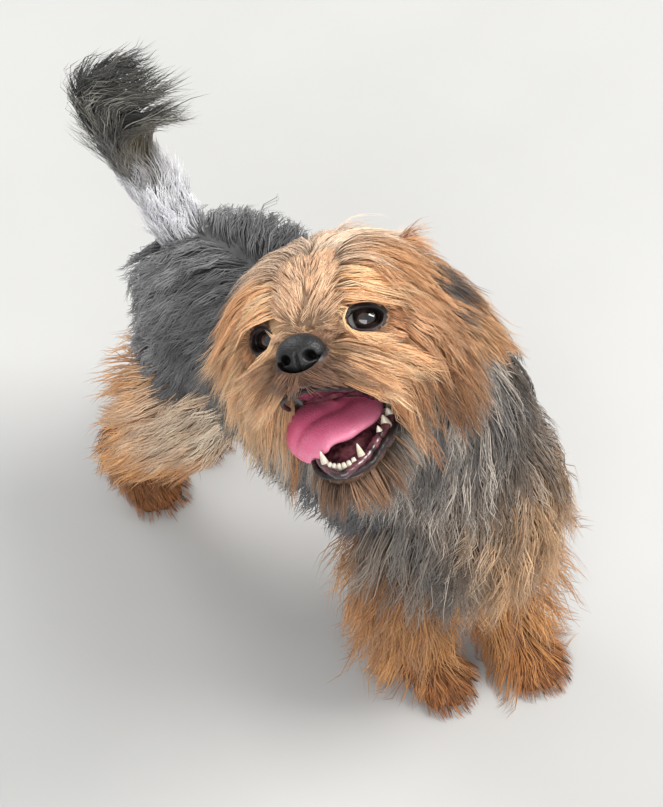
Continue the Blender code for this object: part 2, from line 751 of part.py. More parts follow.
def coat_plan(name, draw):
    """Lists the coats of a node: the loft and its frame, their places, lean, flow and sizes."""
    here = Matrix()
    skull = deck(SKULL)
    if name == "head":
        return [
            (skull, HEAD, scatter(12, (0.02, 0.50), (35, 145), draw), 0.0, crown_flow, COATS["crown"]),
            (skull, HEAD, scatter(6, (0.20, 0.58), (-45, 30), draw), 0.0, cheek_flow, COATS["cheek"]),
            (skull, HEAD, scatter(7, (0.15, 0.60), (150, 225), draw), 0.0, cheek_flow, COATS["low_cheek"]),
            (skull, HEAD, scatter(4, (0.70, 0.90), (-25, 20), draw), 0.0, moustache_flow, COATS["moustache"]),
            (skull, HEAD, scatter(4, (0.70, 0.90), (160, 205), draw), 0.0, moustache_flow, COATS["moustache"]),
        ]
    if name == "jaw":
        return [(deck(JAWBONE), JAW, scatter(6, (0.45, 0.98), (-155, -25), draw), 0.0, beard_flow, COATS["beard"])]
    if name == "neck":
        return [(NECK, here, scatter(19, (0.22, 0.96), (-110, 250), draw), 0.0, neck_flow, COATS["neck"])]
    if name == "torso":
        return [
            (TORSO, here, scatter(4, (0.22, 0.68), (75, 105), draw), 0.0, back_flow, COATS["torso"]),
            (TORSO, here, scatter(28, (0.10, 0.94), (-40, 220), draw), 0.0, torso_flow, COATS["torso"]),
            (TORSO, here, scatter(4, (0.0, 0.02), (-170, -10), draw), -1.0, rump_flow, COATS["thigh"]),
            (TORSO, here, scatter(8, (0.92, 1.0), (-200, 20), draw), 1.0, chest_flow, COATS["chest"]),
        ]
    if name == "tail":
        return [(TAIL, here, scatter(14, (0.06, 1.0), (0, 360), draw), 0.0, tail_flow, COATS["tail"])]
    if name.startswith("leg_fore"):
        near = name.endswith("right")
        coat = COATS["foreleg" if near else "far_foreleg"]
        turns = (0, 360) if near else (-140, 80)
        return [
            (LEGS[name], here, scatter(7, (0.28, 0.74), turns, draw), 0.0, foreleg_flow, coat),
            (LEGS[name], here, scatter(3, (0.78, 0.95), (45, 405), draw), 0.0, shin_flow, COATS["shin"]),
        ]
    if name.startswith("leg_hind"):
        return [
            (LEGS[name], here, scatter(7, (0.12, 0.52), (-190, 10), draw), 0.0, thigh_flow, COATS["thigh"]),
            (LEGS[name], here, scatter(4, (0.66, 0.95), (45, 405), draw), 0.0, shin_flow, COATS["shin"]),
        ]
    return []


def ear_coat(side, tree, draw):
    """Leads the locks of an ear from its outer face."""
    lie = EAR_LIE.normalized()
    outward = Vector((1, 0, 0.3))
    outward = (outward - outward.dot(lie) * lie).normalized()
    across = lie.cross(outward)
    paths = []
    for distance, turns in ((0.006, (-35, 30)), (0.017, (-60, 0, 55)), (0.028, (-35, 30))):
        row = min(EAR, key=lambda item: abs(item[0] - distance))
        for turn in turns:
            angle = math.radians(turn)
            out = across * math.sin(angle) + outward * math.cos(angle)
            root = EAR_ROOT + lie * distance + across * row[1] * math.sin(angle) + outward * row[2] * math.cos(angle)
            root = HEAD @ Vector((side * root.x, root.y, root.z))
            out = head_way(side * out.x, out.y, out.z)
            paths.append(lock_path(root, out, partial(ear_flow, side), COATS["ear"], tree, draw))
    return paths


def coat_paths(name, tree):
    """Leads every lock of a node."""
    draw = random.Random(f"{name} {LOCK_DRAWS.get(name, 0)}")
    if name.startswith("ear"):
        return ear_coat(1 if name == "ear_left" else -1, tree, draw)
    paths = []
    for rows, frame, places, lean, flow, coat in coat_plan(name, draw):
        for along, turn in places:
            root, out = skin_point(rows, along, turn, frame, lean)
            paths.append(lock_path(root, out, flow, coat, tree, draw))
    return paths


def floor_block():
    """Makes the block under the floor that cuts the paws flat."""
    low = ((-0.3, -0.3, -0.1), (0.3, -0.3, -0.1), (0.3, 0.3, -0.1), (-0.3, 0.3, -0.1))
    points = [*low, *[(x, y, 0.0) for x, y, _ in low]]
    faces = ((3, 2, 1, 0), (4, 5, 6, 7), (0, 1, 5, 4), (1, 2, 6, 5), (2, 3, 7, 6), (3, 0, 4, 7))
    return mesh_object("floor", points, faces)


def cutters_of(name):
    """Lists the makers of the hollows that are cut from a node."""
    if name == "nose":
        places = [Vector((side * NOSTRIL_AT.x, NOSTRIL_AT.y, NOSTRIL_AT.z)) for side in (1, -1)]
        return [partial(ball, "nostril", place, NOSTRIL_HALF, HEAD, rings=6, sides=8) for place in places]
    if name == "head":
        mouth = partial(loft, "mouth", deck(MOUTH), rings=6, sides=10, frame=HEAD)
        return [partial(lid_opening, 1), partial(lid_opening, -1), mouth]
    if name.startswith("leg"):
        return [floor_block]
    return []


def make_node(name, pieces, cutters):
    """Joins the pieces of a node and cuts it clear of its cutters."""
    base, *others = [piece() for piece in pieces]
    base.name = name
    combine(base, others, "UNION")
    near = []
    for cutter in cutters:
        hollow = cutter()
        if boxes_meet(hollow, base):
            near.append(hollow)
        else:
            bpy.data.objects.remove(hollow)
    combine(base, near, "DIFFERENCE")
    keep_largest(base)
    return base


def main():
    """Builds every node with its coat, each cut clear of the nodes before it."""
    clear_scene()
    forms = node_forms()
    bare = {name: [piece() for piece in pieces] for name, pieces in forms.items()}
    made = {}
    for name in forms:
        tree = surface_tree([*made.values(), *[item for later in bare if later not in made for item in bare[later]]])
        for item in bare[name]:
            bpy.data.objects.remove(item)
        cutters = cutters_of(name) + [partial(form, grow=GAP) for earlier in made for form in forms[earlier]]
        forms[name] += [partial(lock, *path) for path in coat_paths(name, tree) if path is not None]
        made[name] = make_node(name, forms[name], cutters)
    for item in made.values():
        item.data.transform(Matrix.Translation(CENTRE_SHIFT))
        item.data.update()


main()
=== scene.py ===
# %% [markdown]
# # A small long-coated terrier, built as a still model
#
# The dog stands with its head turned up and over to its right, its mouth open and its tail raised. It comes in three
# layers, as a museum model does: a smooth skin over the flesh, a coat of hair over the skin, and the wet and hard
# parts, which are the eyes, nose, lips, tongue, teeth and claws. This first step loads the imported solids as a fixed
# frame. Nothing in it is moved, and its box is kept, because the dressed dog must stay about that size.

import json
import math

import bpy
import numpy as np
from mathutils import Matrix, Vector
from mathutils.bvhtree import BVHTree
from mathutils.kdtree import KDTree

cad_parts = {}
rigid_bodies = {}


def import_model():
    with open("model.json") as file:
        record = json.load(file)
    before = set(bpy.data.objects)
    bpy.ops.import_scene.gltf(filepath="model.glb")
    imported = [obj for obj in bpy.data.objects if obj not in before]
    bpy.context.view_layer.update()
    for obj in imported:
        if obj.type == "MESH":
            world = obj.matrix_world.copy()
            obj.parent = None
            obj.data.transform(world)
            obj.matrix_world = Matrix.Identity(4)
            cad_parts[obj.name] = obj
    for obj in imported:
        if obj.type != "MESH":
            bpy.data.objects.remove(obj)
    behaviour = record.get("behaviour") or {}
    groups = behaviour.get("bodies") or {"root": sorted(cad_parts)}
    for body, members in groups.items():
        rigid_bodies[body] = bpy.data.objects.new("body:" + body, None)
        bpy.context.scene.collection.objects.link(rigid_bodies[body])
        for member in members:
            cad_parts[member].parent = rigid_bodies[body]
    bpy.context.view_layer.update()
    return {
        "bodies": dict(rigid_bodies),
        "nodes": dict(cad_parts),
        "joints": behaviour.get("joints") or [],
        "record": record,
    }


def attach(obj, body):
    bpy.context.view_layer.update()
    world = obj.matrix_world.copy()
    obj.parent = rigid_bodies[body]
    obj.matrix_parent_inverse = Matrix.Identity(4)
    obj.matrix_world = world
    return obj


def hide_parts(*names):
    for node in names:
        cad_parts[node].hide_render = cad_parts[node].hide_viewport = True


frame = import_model()

# %% [markdown]
# ## The camera
#
# The photo looks down on the dog from its right front, from a little under a metre away. A camera is a place, a
# direction and a lens, so one small function sets all three from the angles round a target point. It is made before
# the dog, so that every later piece can be judged through it.

# %% Camera from angles round a target
AZIMUTH = 52.1
ELEVATION = 53.1
DISTANCE = 0.95
FOCAL_PIXELS = 1949.0
TARGET = (0.0624, 0.0293, 0.08)
ROLL = -0.7
LONG_SIDE_PIXELS = 807
SENSOR = 24.0


def add_camera():
    """Places the camera at TARGET + DISTANCE times the unit vector of the two angles, looking back at the target."""
    turn, rise = math.radians(AZIMUTH), math.radians(ELEVATION)
    away = Vector((-math.sin(turn) * math.cos(rise), -math.cos(turn) * math.cos(rise), math.sin(rise)))
    data = bpy.data.cameras.new("camera")
    data.sensor_width = SENSOR
    data.lens = SENSOR * FOCAL_PIXELS / LONG_SIDE_PIXELS
    data.clip_start = 0.01
    camera = bpy.data.objects.new("camera", data)
    camera.location = Vector(TARGET) + away * DISTANCE
    aim = (-away).to_track_quat("-Z", "Y").to_matrix() @ Matrix.Rotation(-math.radians(ROLL), 3, "Z")
    camera.rotation_euler = aim.to_euler()
    bpy.context.scene.collection.objects.link(camera)
    bpy.context.scene.camera = camera
    return camera


camera = add_camera()
print("camera at", [round(value, 3) for value in camera.location], "lens", round(camera.data.lens, 1))

# %% [markdown]
# ## Curves and tubes as arrays
#
# A body is a set of tapering tubes. Each tube is given by a few stations, and a Catmull-Rom curve runs smoothly
# through them. All points of a tube come from one array sum, so there is no loop over points, only array maths.

# %% Helpers for paths and tubes
SHIFT = np.array((0.0272, -0.0100, 0.0))


def unit(vectors):
    """Scales vectors to length one: v / |v|."""
    return vectors / np.maximum(np.linalg.norm(vectors, axis=-1, keepdims=True), 1e-12)


def curve_through(rows, count):
    """Spaces count rows along the Catmull-Rom curve through the rows: the mean of two parabolas at each span."""
    rows = np.asarray(rows, float)
    spans = len(rows) - 1
    place = np.linspace(0, spans, count)
    span = np.minimum(place.astype(int), spans - 1)
    t = (place - span)[:, None]
    a, b = rows[np.maximum(span - 1, 0)], rows[span]
    c, d = rows[span + 1], rows[np.minimum(span + 2, spans)]
    return (2 * b + (c - a) * t + (2 * a - 5 * b + 4 * c - d) * t**2 + (3 * b - a - 3 * c + d) * t**3) / 2


def placed(points, matrix):
    """Carries points by a 4 by 4 matrix: M p, with p taken as (x, y, z, 1)."""
    matrix = np.array(matrix)
    return points @ matrix[:3, :3].T + matrix[:3, 3]


def tube(rows, rings, sides, across=(1.0, 0.0, 0.0), cap=0.8, swell=0.0):
    """Carries an ellipse along a path: centre + side a cos(u) + up b sin(u), with quarter-round ends."""
    rows = curve_through(rows, rings)
    centres = rows[:, :3]
    along = unit(np.gradient(centres, axis=0))
    side = np.asarray(across) - (along @ np.asarray(across))[:, None] * along
    side = unit(side)
    up = np.cross(along, side)
    sizes = rows[:, 3:5] + swell
    turn = np.radians((72.0, 54.0, 36.0, 18.0))
    levels = []
    for end, way, order in ((0, -1, 1), (-1, 1, -1)):
        reach = cap * sizes[end].min()
        steps = turn[::order]
        levels.append((centres[end] + way * reach * np.sin(steps)[:, None] * along[end],
                       np.repeat(side[end][None], 4, 0), np.repeat(up[end][None], 4, 0),
                       sizes[end] * np.cos(steps)[:, None]))
    joined = [np.concatenate((levels[0][part], middle, levels[1][part]))
              for part, middle in enumerate((centres, side, up, sizes))]
    angle = 2 * np.pi * (np.arange(sides) + 0.5) / sides
    arm_a = joined[1][:, None] * joined[3][:, :1, None] * np.cos(angle)[None, :, None]
    arm_b = joined[2][:, None] * joined[3][:, 1:, None] * np.sin(angle)[None, :, None]
    return joined[0][:, None] + arm_a + arm_b


def deck(rows):
    """Turns stations of y, underside, top and half width into tube stations of x, y, z, half width, half depth."""
    return [(0.0, y, (low + high) / 2, wide, (high - low) / 2) for y, low, high, wide in rows]


def grid_faces(rings, sides):
    """Numbers the quads of a closed tube of points, rings by sides, and of the two fans that close its ends."""
    low = np.arange(rings - 1)[:, None] * sides
    here = np.arange(sides)[None]
    after = (here + 1) % sides
    quads = np.stack((low + here, low + after, low + sides + after, low + sides + here), -1).reshape(-1, 4)
    start, end, top = rings * sides, rings * sides + 1, (rings - 1) * sides
    first = np.stack((np.full(sides, start), after[0], here[0]), -1)
    last = np.stack((np.full(sides, end), top + here[0], top + after[0]), -1)
    return quads.tolist() + first.tolist() + last.tolist()


def add_piece(name, points, faces, smooth=True):
    """Makes a mesh object from arrays of points and lists of faces."""
    mesh = bpy.data.meshes.new(name)
    mesh.from_pydata(np.asarray(points).reshape(-1, 3).tolist(), [], faces)
    mesh.update()
    if smooth:
        mesh.shade_smooth()
    piece = bpy.data.objects.new(name, mesh)
    bpy.context.scene.collection.objects.link(piece)
    return piece


def closed_tube(grid):
    """Adds the two pole points to a tube's grid, each the mean of its end ring, and numbers its faces."""
    points = np.concatenate((grid.reshape(-1, 3), grid[0].mean(0)[None], grid[-1].mean(0)[None]))
    return points, grid_faces(grid.shape[0], grid.shape[1])


def joined(parts):
    """Joins several meshes, each of points and faces, into one list of points and one of faces."""
    points, faces, start = [], [], 0
    for part_points, part_faces in parts:
        points.append(part_points)
        faces += [[start + index for index in face] for face in part_faces]
        start += len(part_points)
    return np.concatenate(points), faces


print("helpers ready")

# %% [markdown]
# ## The flesh
#
# The sizes below are the dog's own: stations of the torso, neck, head, legs and tail in metres. The head is laid out
# level, with its origin between the eyes, and one matrix then turns it up and over, as the dog holds it. The jaw
# hangs on its hinge under the ears, turned open by an angle of its own.

# %% Stations of the body
TORSO = (
    (0.0, 0.096, 0.163, 0.022, 0.026), (0.0, 0.083, 0.164, 0.033, 0.037), (0.0, 0.050, 0.165, 0.036, 0.038),
    (0.0, 0.010, 0.162, 0.038, 0.041), (0.0, -0.030, 0.158, 0.040, 0.046), (0.0, -0.060, 0.157, 0.035, 0.043),
    (0.0, -0.076, 0.161, 0.025, 0.033),
)
NECK = (
    (0.000, -0.050, 0.175, 0.031, 0.031), (-0.008, -0.053, 0.206, 0.028, 0.028),
    (-0.025, -0.048, 0.236, 0.025, 0.025), (-0.044, -0.041, 0.262, 0.024, 0.024),
    (-0.060, -0.037, 0.283, 0.022, 0.022),
)
TAIL = (
    (0.000, 0.088, 0.184, 0.0100, 0.0100), (-0.001, 0.102, 0.206, 0.0080, 0.0080),
    (-0.006, 0.114, 0.228, 0.0065, 0.0065), (-0.011, 0.124, 0.252, 0.0055, 0.0055),
    (-0.013, 0.128, 0.276, 0.0040, 0.0040),
)
FORE_LEG = (
    (-0.0235, -0.0515, 0.150, 0.0122, 0.0196), (-0.026, -0.0505, 0.115, 0.0132, 0.0167),
    (-0.024, -0.050, 0.080, 0.010, 0.012), (-0.020, -0.054, 0.040, 0.0085, 0.0095),
    (-0.018, -0.058, 0.016, 0.0085, 0.0100),
)
HIND_LEG = (
    (-0.0206, 0.0752, 0.156, 0.0148, 0.0250), (-0.0274, 0.0728, 0.125, 0.0162, 0.0250),
    (-0.029, 0.082, 0.090, 0.012, 0.017), (-0.026, 0.117, 0.058, 0.0080, 0.0100),
    (-0.022, 0.128, 0.030, 0.0075, 0.0085), (-0.020, 0.126, 0.014, 0.0080, 0.0095),
)
LEG_TOP = 0.15


def stepped(rows, step):
    """Mirrors a right leg to the left and swings it about its top: y + step (1 - z / top)."""
    rows = np.array(rows)
    rows[:, 0] *= -1
    rows[:, 1] += step * (1 - rows[:, 2] / LEG_TOP)
    return rows


LEGS = {
    "fore_right": np.array(FORE_LEG), "fore_left": stepped(FORE_LEG, -0.033),
    "hind_right": np.array(HIND_LEG), "hind_left": stepped(HIND_LEG, 0.004),
}
print("legs:", {name: np.round(rows[-1, :2], 3).tolist() for name, rows in LEGS.items()})

# %% Stations of the head
HEAD = (
    Matrix.Translation(Vector(SHIFT) + Vector((-0.073, -0.044, 0.305)))
    @ Matrix.Rotation(math.radians(-80), 4, "Z")
    @ Matrix.Rotation(math.radians(-48), 4, "X")
    @ Matrix.Rotation(math.radians(-34), 4, "Y")
)
HINGE = Vector((0.0, 0.012, -0.018))
JAW = HEAD @ Matrix.Translation(HINGE) @ Matrix.Rotation(math.radians(43), 4, "X") @ Matrix.Translation(-HINGE)
SKULL = (
    (0.047, -0.012, 0.012, 0.016), (0.038, -0.024, 0.023, 0.027), (0.022, -0.030, 0.029, 0.032),
    (0.006, -0.031, 0.029, 0.033), (-0.004, -0.031, 0.023, 0.031), (-0.011, -0.028, 0.013, 0.027),
    (-0.017, -0.0255, 0.001, 0.0205), (-0.024, -0.0240, -0.003, 0.0155), (-0.032, -0.0225, -0.0042, 0.0135),
    (-0.0375, -0.0205, -0.006, 0.0100),
)
MOUTH = (
    (0.002, -0.036, -0.0235, 0.011), (-0.008, -0.042, -0.0215, 0.0145), (-0.018, -0.048, -0.0212, 0.0130),
    (-0.028, -0.052, -0.0208, 0.0105), (-0.034, -0.054, -0.0204, 0.0075),
)
JAWBONE = (
    (0.006, -0.036, -0.0235, 0.0175), (-0.004, -0.0355, -0.0240, 0.0175), (-0.014, -0.0330, -0.0235, 0.0145),
    (-0.023, -0.0310, -0.0230, 0.0110), (-0.030, -0.0280, -0.0225, 0.0075),
)
EAR = ((0.000, 0.0072, 0.0034), (0.008, 0.0108, 0.0044), (0.018, 0.0135, 0.0042), (0.028, 0.0105, 0.0030),
       (0.036, 0.0060, 0.0018), (0.041, 0.0015, 0.0010))
EAR_ROOT = np.array((0.0228, 0.018, 0.0190))
EAR_LIE = unit(np.array((0.58, 0.33, -0.74)))
EAR_THICKNESS = 0.0020
EYE_AT = np.array((0.0153, -0.0092, 0.0))
EYE_RADIUS = 0.0082
EYE_OUTWARD = 22.0
NOSE_AT = np.array((0.0, -0.0365, -0.0088))
NOSE_HALF = np.array((0.0088, 0.0062, 0.0071))
print("head at", [round(value, 4) for value in HEAD.translation])

# %% [markdown]
# An ear is a leaf: a half tube, cupped towards the head, whose width grows from the root and closes at the tip. Its
# outer and inner faces are two arcs with the thickness of the ear between them, so it is a closed solid.

# %% Ears, paws and eyelids
EAR_OUT = np.array((0.80, -0.50, 0.35))
EAR_OUT = unit(EAR_OUT - EAR_OUT @ EAR_LIE * EAR_LIE)
EAR_ACROSS = np.cross(EAR_LIE, EAR_OUT)
LID_THICKNESS = 0.0014
LID_HALF = (0.0065, 0.0110, 0.0041)


def eye_frame(side):
    """Gives the frame of an eye: at its centre, with -y out through the opening between the lids."""
    turn = Matrix.Rotation(side * math.radians(EYE_OUTWARD), 4, "Z")
    return HEAD @ Matrix.Translation(Vector(EYE_AT * (side, 1, 1))) @ turn


def ear_grid(side, rings=22, arc=12):
    """Sweeps a crescent along the ear: across w sin(t) + outward c cos(t) outside, and back along the inner arc."""
    rows = curve_through(EAR, rings)
    t = np.linspace(-np.pi / 2, np.pi / 2, arc)
    half = EAR_THICKNESS / 2
    outer = (rows[:, 1:2, None] * np.sin(t)[None, :, None] * EAR_ACROSS
             + (rows[:, 2:3, None] + half) * np.cos(t)[None, :, None] * EAR_OUT)
    inner = ((rows[:, 1:2, None] - 2 * half).clip(0.0004) * np.sin(t[::-1])[None, :, None] * EAR_ACROSS
             + (rows[:, 2:3, None] - half) * np.cos(t[::-1])[None, :, None] * EAR_OUT)
    grid = np.concatenate((outer, inner), 1) + (EAR_ROOT + rows[:, :1] * EAR_LIE)[:, None]
    grid = grid * np.array((side, 1.0, 1.0))
    return placed(grid if side > 0 else grid[:, ::-1], HEAD)


def ball_grid(centre, half, matrix=Matrix(), rings=14, sides=24):
    """Gives an ellipsoid's rings: (a sin p cos t, -b cos p, -c sin p sin t) about a centre, poles along y."""
    p = np.pi * np.arange(1, rings)[:, None] / rings
    t = 2 * np.pi * (np.arange(sides) + 0.5)[None] / sides
    points = np.stack((np.sin(p) * np.cos(t), -np.cos(p) + 0 * t, -np.sin(p) * np.sin(t)), -1) * np.asarray(half)
    return placed(points + np.asarray(centre), matrix)


def paw_grids(ankle):
    """Gives the pad and four toes of the foot under an ankle, as ellipsoids that overlap."""
    x, y = ankle[0] + SHIFT[0], ankle[1] - 0.008 + SHIFT[1]
    grids = [ball_grid((x, y, 0.0084), (0.0118, 0.0158, 0.0108))]
    for across, ahead in ((-0.0088, -0.0085), (-0.0032, -0.0135), (0.0032, -0.0135), (0.0088, -0.0085)):
        place = Matrix.Translation((x + across, y + ahead, 0.0047)) @ Matrix.Rotation(40.0 * across, 4, "Z")
        grids.append(ball_grid((0, 0, 0), (0.0056, 0.0074, 0.0056), place))
    return grids


PARTS = {
    "torso": [tube(TORSO, 40, 48) + SHIFT],
    "neck": [tube(NECK, 30, 40) + SHIFT],
    "tail": [tube(TAIL, 40, 20) + SHIFT],
    "skull": [placed(tube(deck(SKULL), 60, 48), HEAD)],
    "lids": [ball_grid((0, 0, 0), (EYE_RADIUS + LID_THICKNESS,) * 3, eye_frame(side)) for side in (1, -1)],
    "jaw": [placed(tube(deck(JAWBONE), 30, 32), JAW)],
    "ear_left": [ear_grid(1)],
    "ear_right": [ear_grid(-1)],
}
for leg, rows in LEGS.items():
    PARTS[leg] = [tube(rows, 36, 24, cap=0.4) + SHIFT]
    PARTS[leg + "_paw"] = paw_grids(rows[-1])
PART_NAMES = list(PARTS)
print(len(PARTS), "parts of", sum(grid.size // 3 for grids in PARTS.values() for grid in grids), "points")

# %% [markdown]
# ## One skin
#
# The tubes overlap where limbs meet the body. A voxel remesh turns the heap into one closed skin, as shrink wrap
# would, and a smoothing pass rounds the creases where they meet. The mouth, the slits between the lids and the
# seat of the nose are then cut from it, and the skin takes the place of the flesh solids.

# %% Remesh the heap into one skin
VOXEL = 0.0015


def applied(piece):
    """Replaces an object's mesh by the outcome of its modifiers."""
    graph = bpy.context.evaluated_depsgraph_get()
    made = bpy.data.meshes.new_from_object(piece.evaluated_get(graph))
    piece.modifiers.clear()
    piece.data = made
    return piece


def skin_piece():
    """Joins the parts, remeshes them into voxels' surface, smooths it and cuts the mouth's hollow from it."""
    heap = [closed_tube(grid) for grids in PARTS.values() for grid in grids]
    points, faces = joined(heap)
    skin = add_piece("skin", points, faces)
    remesh = skin.modifiers.new("wrap", "REMESH")
    remesh.mode = "VOXEL"
    remesh.voxel_size = VOXEL
    soften = skin.modifiers.new("soften", "SMOOTH")
    soften.factor = 0.5
    soften.iterations = 6
    applied(skin)
    openings = [ball_grid((0, -EYE_RADIUS, 0), LID_HALF, eye_frame(side)) for side in (1, -1)]
    openings.append(ball_grid(NOSE_AT - (0, 0.0035, 0), NOSE_HALF * (0.95, 1.35, 0.95), HEAD))
    for opening in [placed(tube(deck(MOUTH), 16, 20), HEAD), *openings]:
        hollow = add_piece("hollow", *closed_tube(opening))
        cut = skin.modifiers.new("cut", "BOOLEAN")
        cut.operation = "DIFFERENCE"
        cut.object = hollow
        cut.solver = "EXACT"
        applied(skin)
        bpy.data.objects.remove(hollow)
    skin.data.shade_smooth()
    return skin


skin = skin_piece()
mesh = skin.data
SKIN_POINTS = np.empty(len(mesh.vertices) * 3)
mesh.vertices.foreach_get("co", SKIN_POINTS)
SKIN_POINTS = SKIN_POINTS.reshape(-1, 3)
SKIN_POINTS[:, 2] = np.maximum(SKIN_POINTS[:, 2], 0.0)
mesh.vertices.foreach_set("co", SKIN_POINTS.ravel())
mesh.update()
SKIN_TREE = BVHTree.FromPolygons(SKIN_POINTS.tolist(), [list(face.vertices) for face in mesh.polygons])
print("skin of", len(mesh.polygons), "faces")

# %% [markdown]
# ## Where the hair grows
#
# A terrier's coat is long hair, not wool: silky, a little wavy, parted along the head and back, short on the face and
# paws. Every hair here is a thin closed strand of mesh. First come the roots, drawn evenly over the skin's area, each
# with the part that it stands on and its place on that part, read from the nearest point of the tubes.

# %% Draw roots over the skin
DICE = np.random.default_rng(11)


def ramp(value, start, end):
    """Rises smoothly from 0 at start to 1 at end: 3 t t - 2 t t t."""
    t = ((value - start) / (end - start)).clip(0, 1)
    return t * t * (3 - 2 * t)


PART_POINTS = np.concatenate([grid.reshape(-1, 3) for grids in PARTS.values() for grid in grids])
PART_MARKS = np.concatenate([
    np.stack(np.broadcast_arrays(number, np.linspace(0, 1, len(grid))[:, None],
                                 (np.arange(grid.shape[1])[None] + 0.5) / grid.shape[1]), -1).reshape(-1, 3)
    for number, grids in enumerate(PARTS.values()) for grid in grids])
part_tree = KDTree(len(PART_POINTS))
for index, point in enumerate(PART_POINTS.tolist()):
    part_tree.insert(point, index)
part_tree.balance()


def draw_roots(count):
    """Draws points evenly by area: a triangle with chance by its area, and a place in it by two square-root draws."""
    mesh.calc_loop_triangles()
    corners = np.empty(len(mesh.loop_triangles) * 3, np.int64)
    mesh.loop_triangles.foreach_get("vertices", corners)
    corners = corners.reshape(-1, 3)
    normals = np.empty(len(mesh.vertices) * 3)
    mesh.vertices.foreach_get("normal", normals)
    normals = normals.reshape(-1, 3)
    a, b, c = (SKIN_POINTS[corners[:, k]] for k in range(3))
    area = np.linalg.norm(np.cross(b - a, c - a), axis=1)
    pick = DICE.choice(len(corners), count, p=area / area.sum())
    r, s = np.sqrt(DICE.random((count, 1))), DICE.random((count, 1))
    share = (1 - r, r * (1 - s), r * s)
    points = sum(part * SKIN_POINTS[corners[pick, k]] for k, part in enumerate(share))
    ways = unit(sum(part * normals[corners[pick, k]] for k, part in enumerate(share)))
    return points, ways


def marks_of(points):
    """Reads each point's part number, share of length and share of turn from the nearest tube point."""
    near = np.array([part_tree.find(point)[1] for point in points.tolist()])
    return PART_MARKS[near]


def in_frame(points, matrix):
    """Gives points in a frame of their own: the inverse matrix times p."""
    return placed(points, matrix.inverted())


def turned(vectors, matrix):
    """Turns directions by a matrix, without moving them."""
    return vectors @ np.array(matrix)[:3, :3].T


ROOT_COUNT = 260000
roots, ways = draw_roots(ROOT_COUNT)
marks = marks_of(roots)
print("drew", len(roots), "roots; on the head", int((marks[:, 0] == PART_NAMES.index("skull")).sum()))

# %% [markdown]
# ## The kinds of coat
#
# Each kind of coat has its own length, depth over the skin, rise at the root, sag, wave and width of strand. Which
# kind grows at a root follows from where it is: the crown, the bridge of the nose, the cheeks, the moustache and so on
# are boxes in the head's own frame, and the rest goes by part.

# %% Name the kinds and their sizes
KINDS = {
    # kind: share of roots kept, length, depth, rise, sag, wave, wave length, width, gathering, steps
    "crown": (0.86, 0.037, 0.0108, 0.46, 0.30, 0.0012, 0.022, 0.00036, 0.55, 5),
    "bridge": (1.00, 0.012, 0.0013, 0.14, 0.05, 0.0003, 0.012, 0.00025, 0.35, 3),
    "face": (1.00, 0.008, 0.0011, 0.16, 0.10, 0.0002, 0.012, 0.00024, 0.35, 3),
    "cheek": (0.82, 0.042, 0.0095, 0.55, 0.40, 0.0014, 0.024, 0.00038, 0.55, 5),
    "moustache": (1.00, 0.025, 0.0050, 0.45, 0.20, 0.0009, 0.018, 0.00031, 0.50, 4),
    "beard": (0.86, 0.019, 0.0034, 0.40, 0.35, 0.0007, 0.016, 0.00032, 0.50, 4),
    "throat": (0.36, 0.046, 0.0070, 0.50, 0.60, 0.0014, 0.024, 0.00042, 0.55, 4),
    "ear": (0.62, 0.024, 0.0040, 0.42, 0.30, 0.0009, 0.018, 0.00034, 0.45, 5),
    "neck": (0.165, 0.050, 0.0095, 0.45, 0.75, 0.0030, 0.036, 0.00050, 0.72, 5),
    "chest": (0.21, 0.058, 0.0105, 0.50, 0.80, 0.0036, 0.036, 0.00050, 0.74, 5),
    "torso": (0.195, 0.034, 0.0088, 0.58, 0.45, 0.0022, 0.022, 0.00052, 0.60, 4),
    "belly": (0.075, 0.030, 0.0060, 0.45, 0.60, 0.0014, 0.024, 0.00056, 0.55, 4),
    "foreleg": (0.150, 0.052, 0.0150, 0.75, 0.45, 0.0030, 0.034, 0.00048, 0.72, 5),
    "shin": (0.135, 0.034, 0.0095, 0.62, 0.50, 0.0014, 0.022, 0.00042, 0.50, 4),
    "thigh": (0.140, 0.038, 0.0100, 0.65, 0.30, 0.0016, 0.026, 0.00050, 0.60, 4),
    "paw": (0.24, 0.010, 0.0020, 0.35, 0.30, 0.0004, 0.012, 0.00034, 0.35, 3),
    "tail": (0.48, 0.036, 0.0042, 0.16, 0.00, 0.0020, 0.030, 0.00040, 0.55, 5),
}
KIND_NAMES = list(KINDS)
KIND_TABLE = np.array(list(KINDS.values()))
PART = {name: number for number, name in enumerate(PART_NAMES)}


